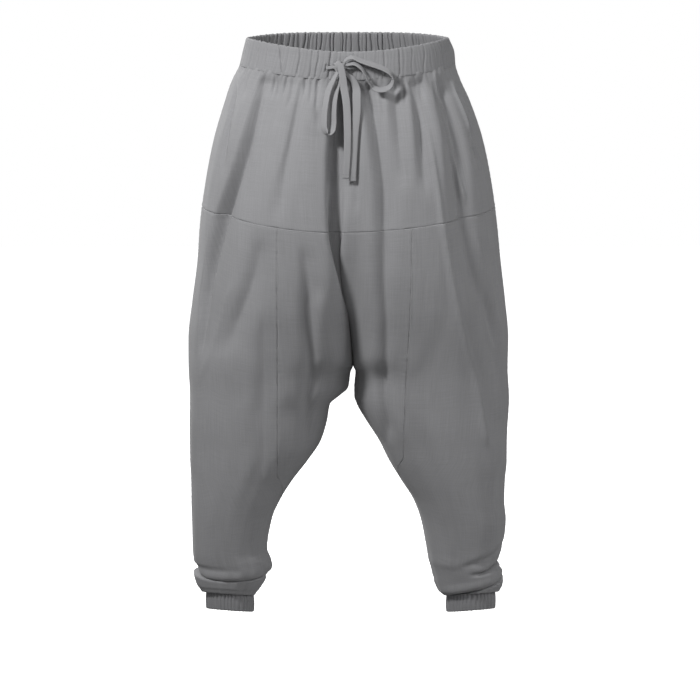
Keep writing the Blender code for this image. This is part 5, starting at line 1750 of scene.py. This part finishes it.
def seen_and_thrown(tree, seen, thrown, output):
    """Shows one shader to the camera and lets the other one light the cloth."""
    path = tree.nodes.new("ShaderNodeLightPath")
    either = tree.nodes.new("ShaderNodeMixShader")
    tree.links.new(path.outputs["Is Camera Ray"], either.inputs[0])
    tree.links.new(thrown.outputs[0], either.inputs[1])
    tree.links.new(seen.outputs[0], either.inputs[2])
    tree.links.new(either.outputs[0], tree.nodes[output].inputs["Surface"])


def floor_material():
    """White to the camera; greyer to the light that it throws back on the cloth."""
    material = bpy.data.materials.new("pale_floor")
    material.use_nodes = True
    tree = material.node_tree
    seen, thrown = tree.nodes["Principled BSDF"], tree.nodes.new("ShaderNodeBsdfPrincipled")
    for shader, grey in ((seen, FLOOR_GREY), (thrown, BOUNCE)):
        shader.inputs["Base Color"].default_value = (grey, grey, grey, 1)
        shader.inputs["Roughness"].default_value = FLOOR_ROUGHNESS
    seen.inputs["Emission Color"].default_value = (1, 1, 1, 1)
    seen.inputs["Emission Strength"].default_value = SEEN_GLOW
    seen_and_thrown(tree, seen, thrown, "Material Output")
    return material


def add_floor():
    corners = [(x, y, FLOOR_Z) for x, y in ((-1, -1), (1, -1), (1, 1), (-1, 1))]
    mesh = bpy.data.meshes.new("floor")
    mesh.from_pydata([(x * FLOOR_HALF, y * FLOOR_HALF, z) for x, y, z in corners], [], [(0, 1, 2, 3)])
    mesh.materials.append(floor_material())
    floor = add_object("floor", mesh)


def add_world():
    """An even pale world: white where it's seen, and dimmer as a light."""
    world = bpy.data.worlds.new("studio")
    world.use_nodes = True
    tree = world.node_tree
    thrown, seen = tree.nodes["Background"], tree.nodes.new("ShaderNodeBackground")
    for background in (thrown, seen):
        background.inputs["Color"].default_value = (1, 1, 1, 1)
    thrown.inputs["Strength"].default_value = WORLD_LIGHT
    seen_and_thrown(tree, seen, thrown, "World Output")
    bpy.context.scene.world = world


def add_lamp(name, place, aim, size, power, spread=np.pi):
    data = bpy.data.lights.new(name, "AREA")
    data.spread = spread
    data.shape, data.size, data.size_y, data.energy = "RECTANGLE", *size, power
    aim_at(add_object(name, data), place, aim)


add_floor()
add_world()
add_lamp("key", (-1.30, -1.34, 1.20), (0.0, 0.0, -0.18), (0.4, 0.4), 15.0, spread=1.75)
add_lamp("fill", (0.7, -2.6, 0.5), (0.0, 0.0, -0.30), (1.4, 1.4), 11.0)
add_lamp("edge", (2.1, -1.0, 0.3), (0.2, 0.0, -0.35), (1.0, 1.0), 16.0)
add_lamp("back", (-1.6, 2.4, 1.0), (0.0, 0.0, -0.40), (1.2, 1.2), 60.0)
bpy.context.scene.view_settings.view_transform = "Standard"
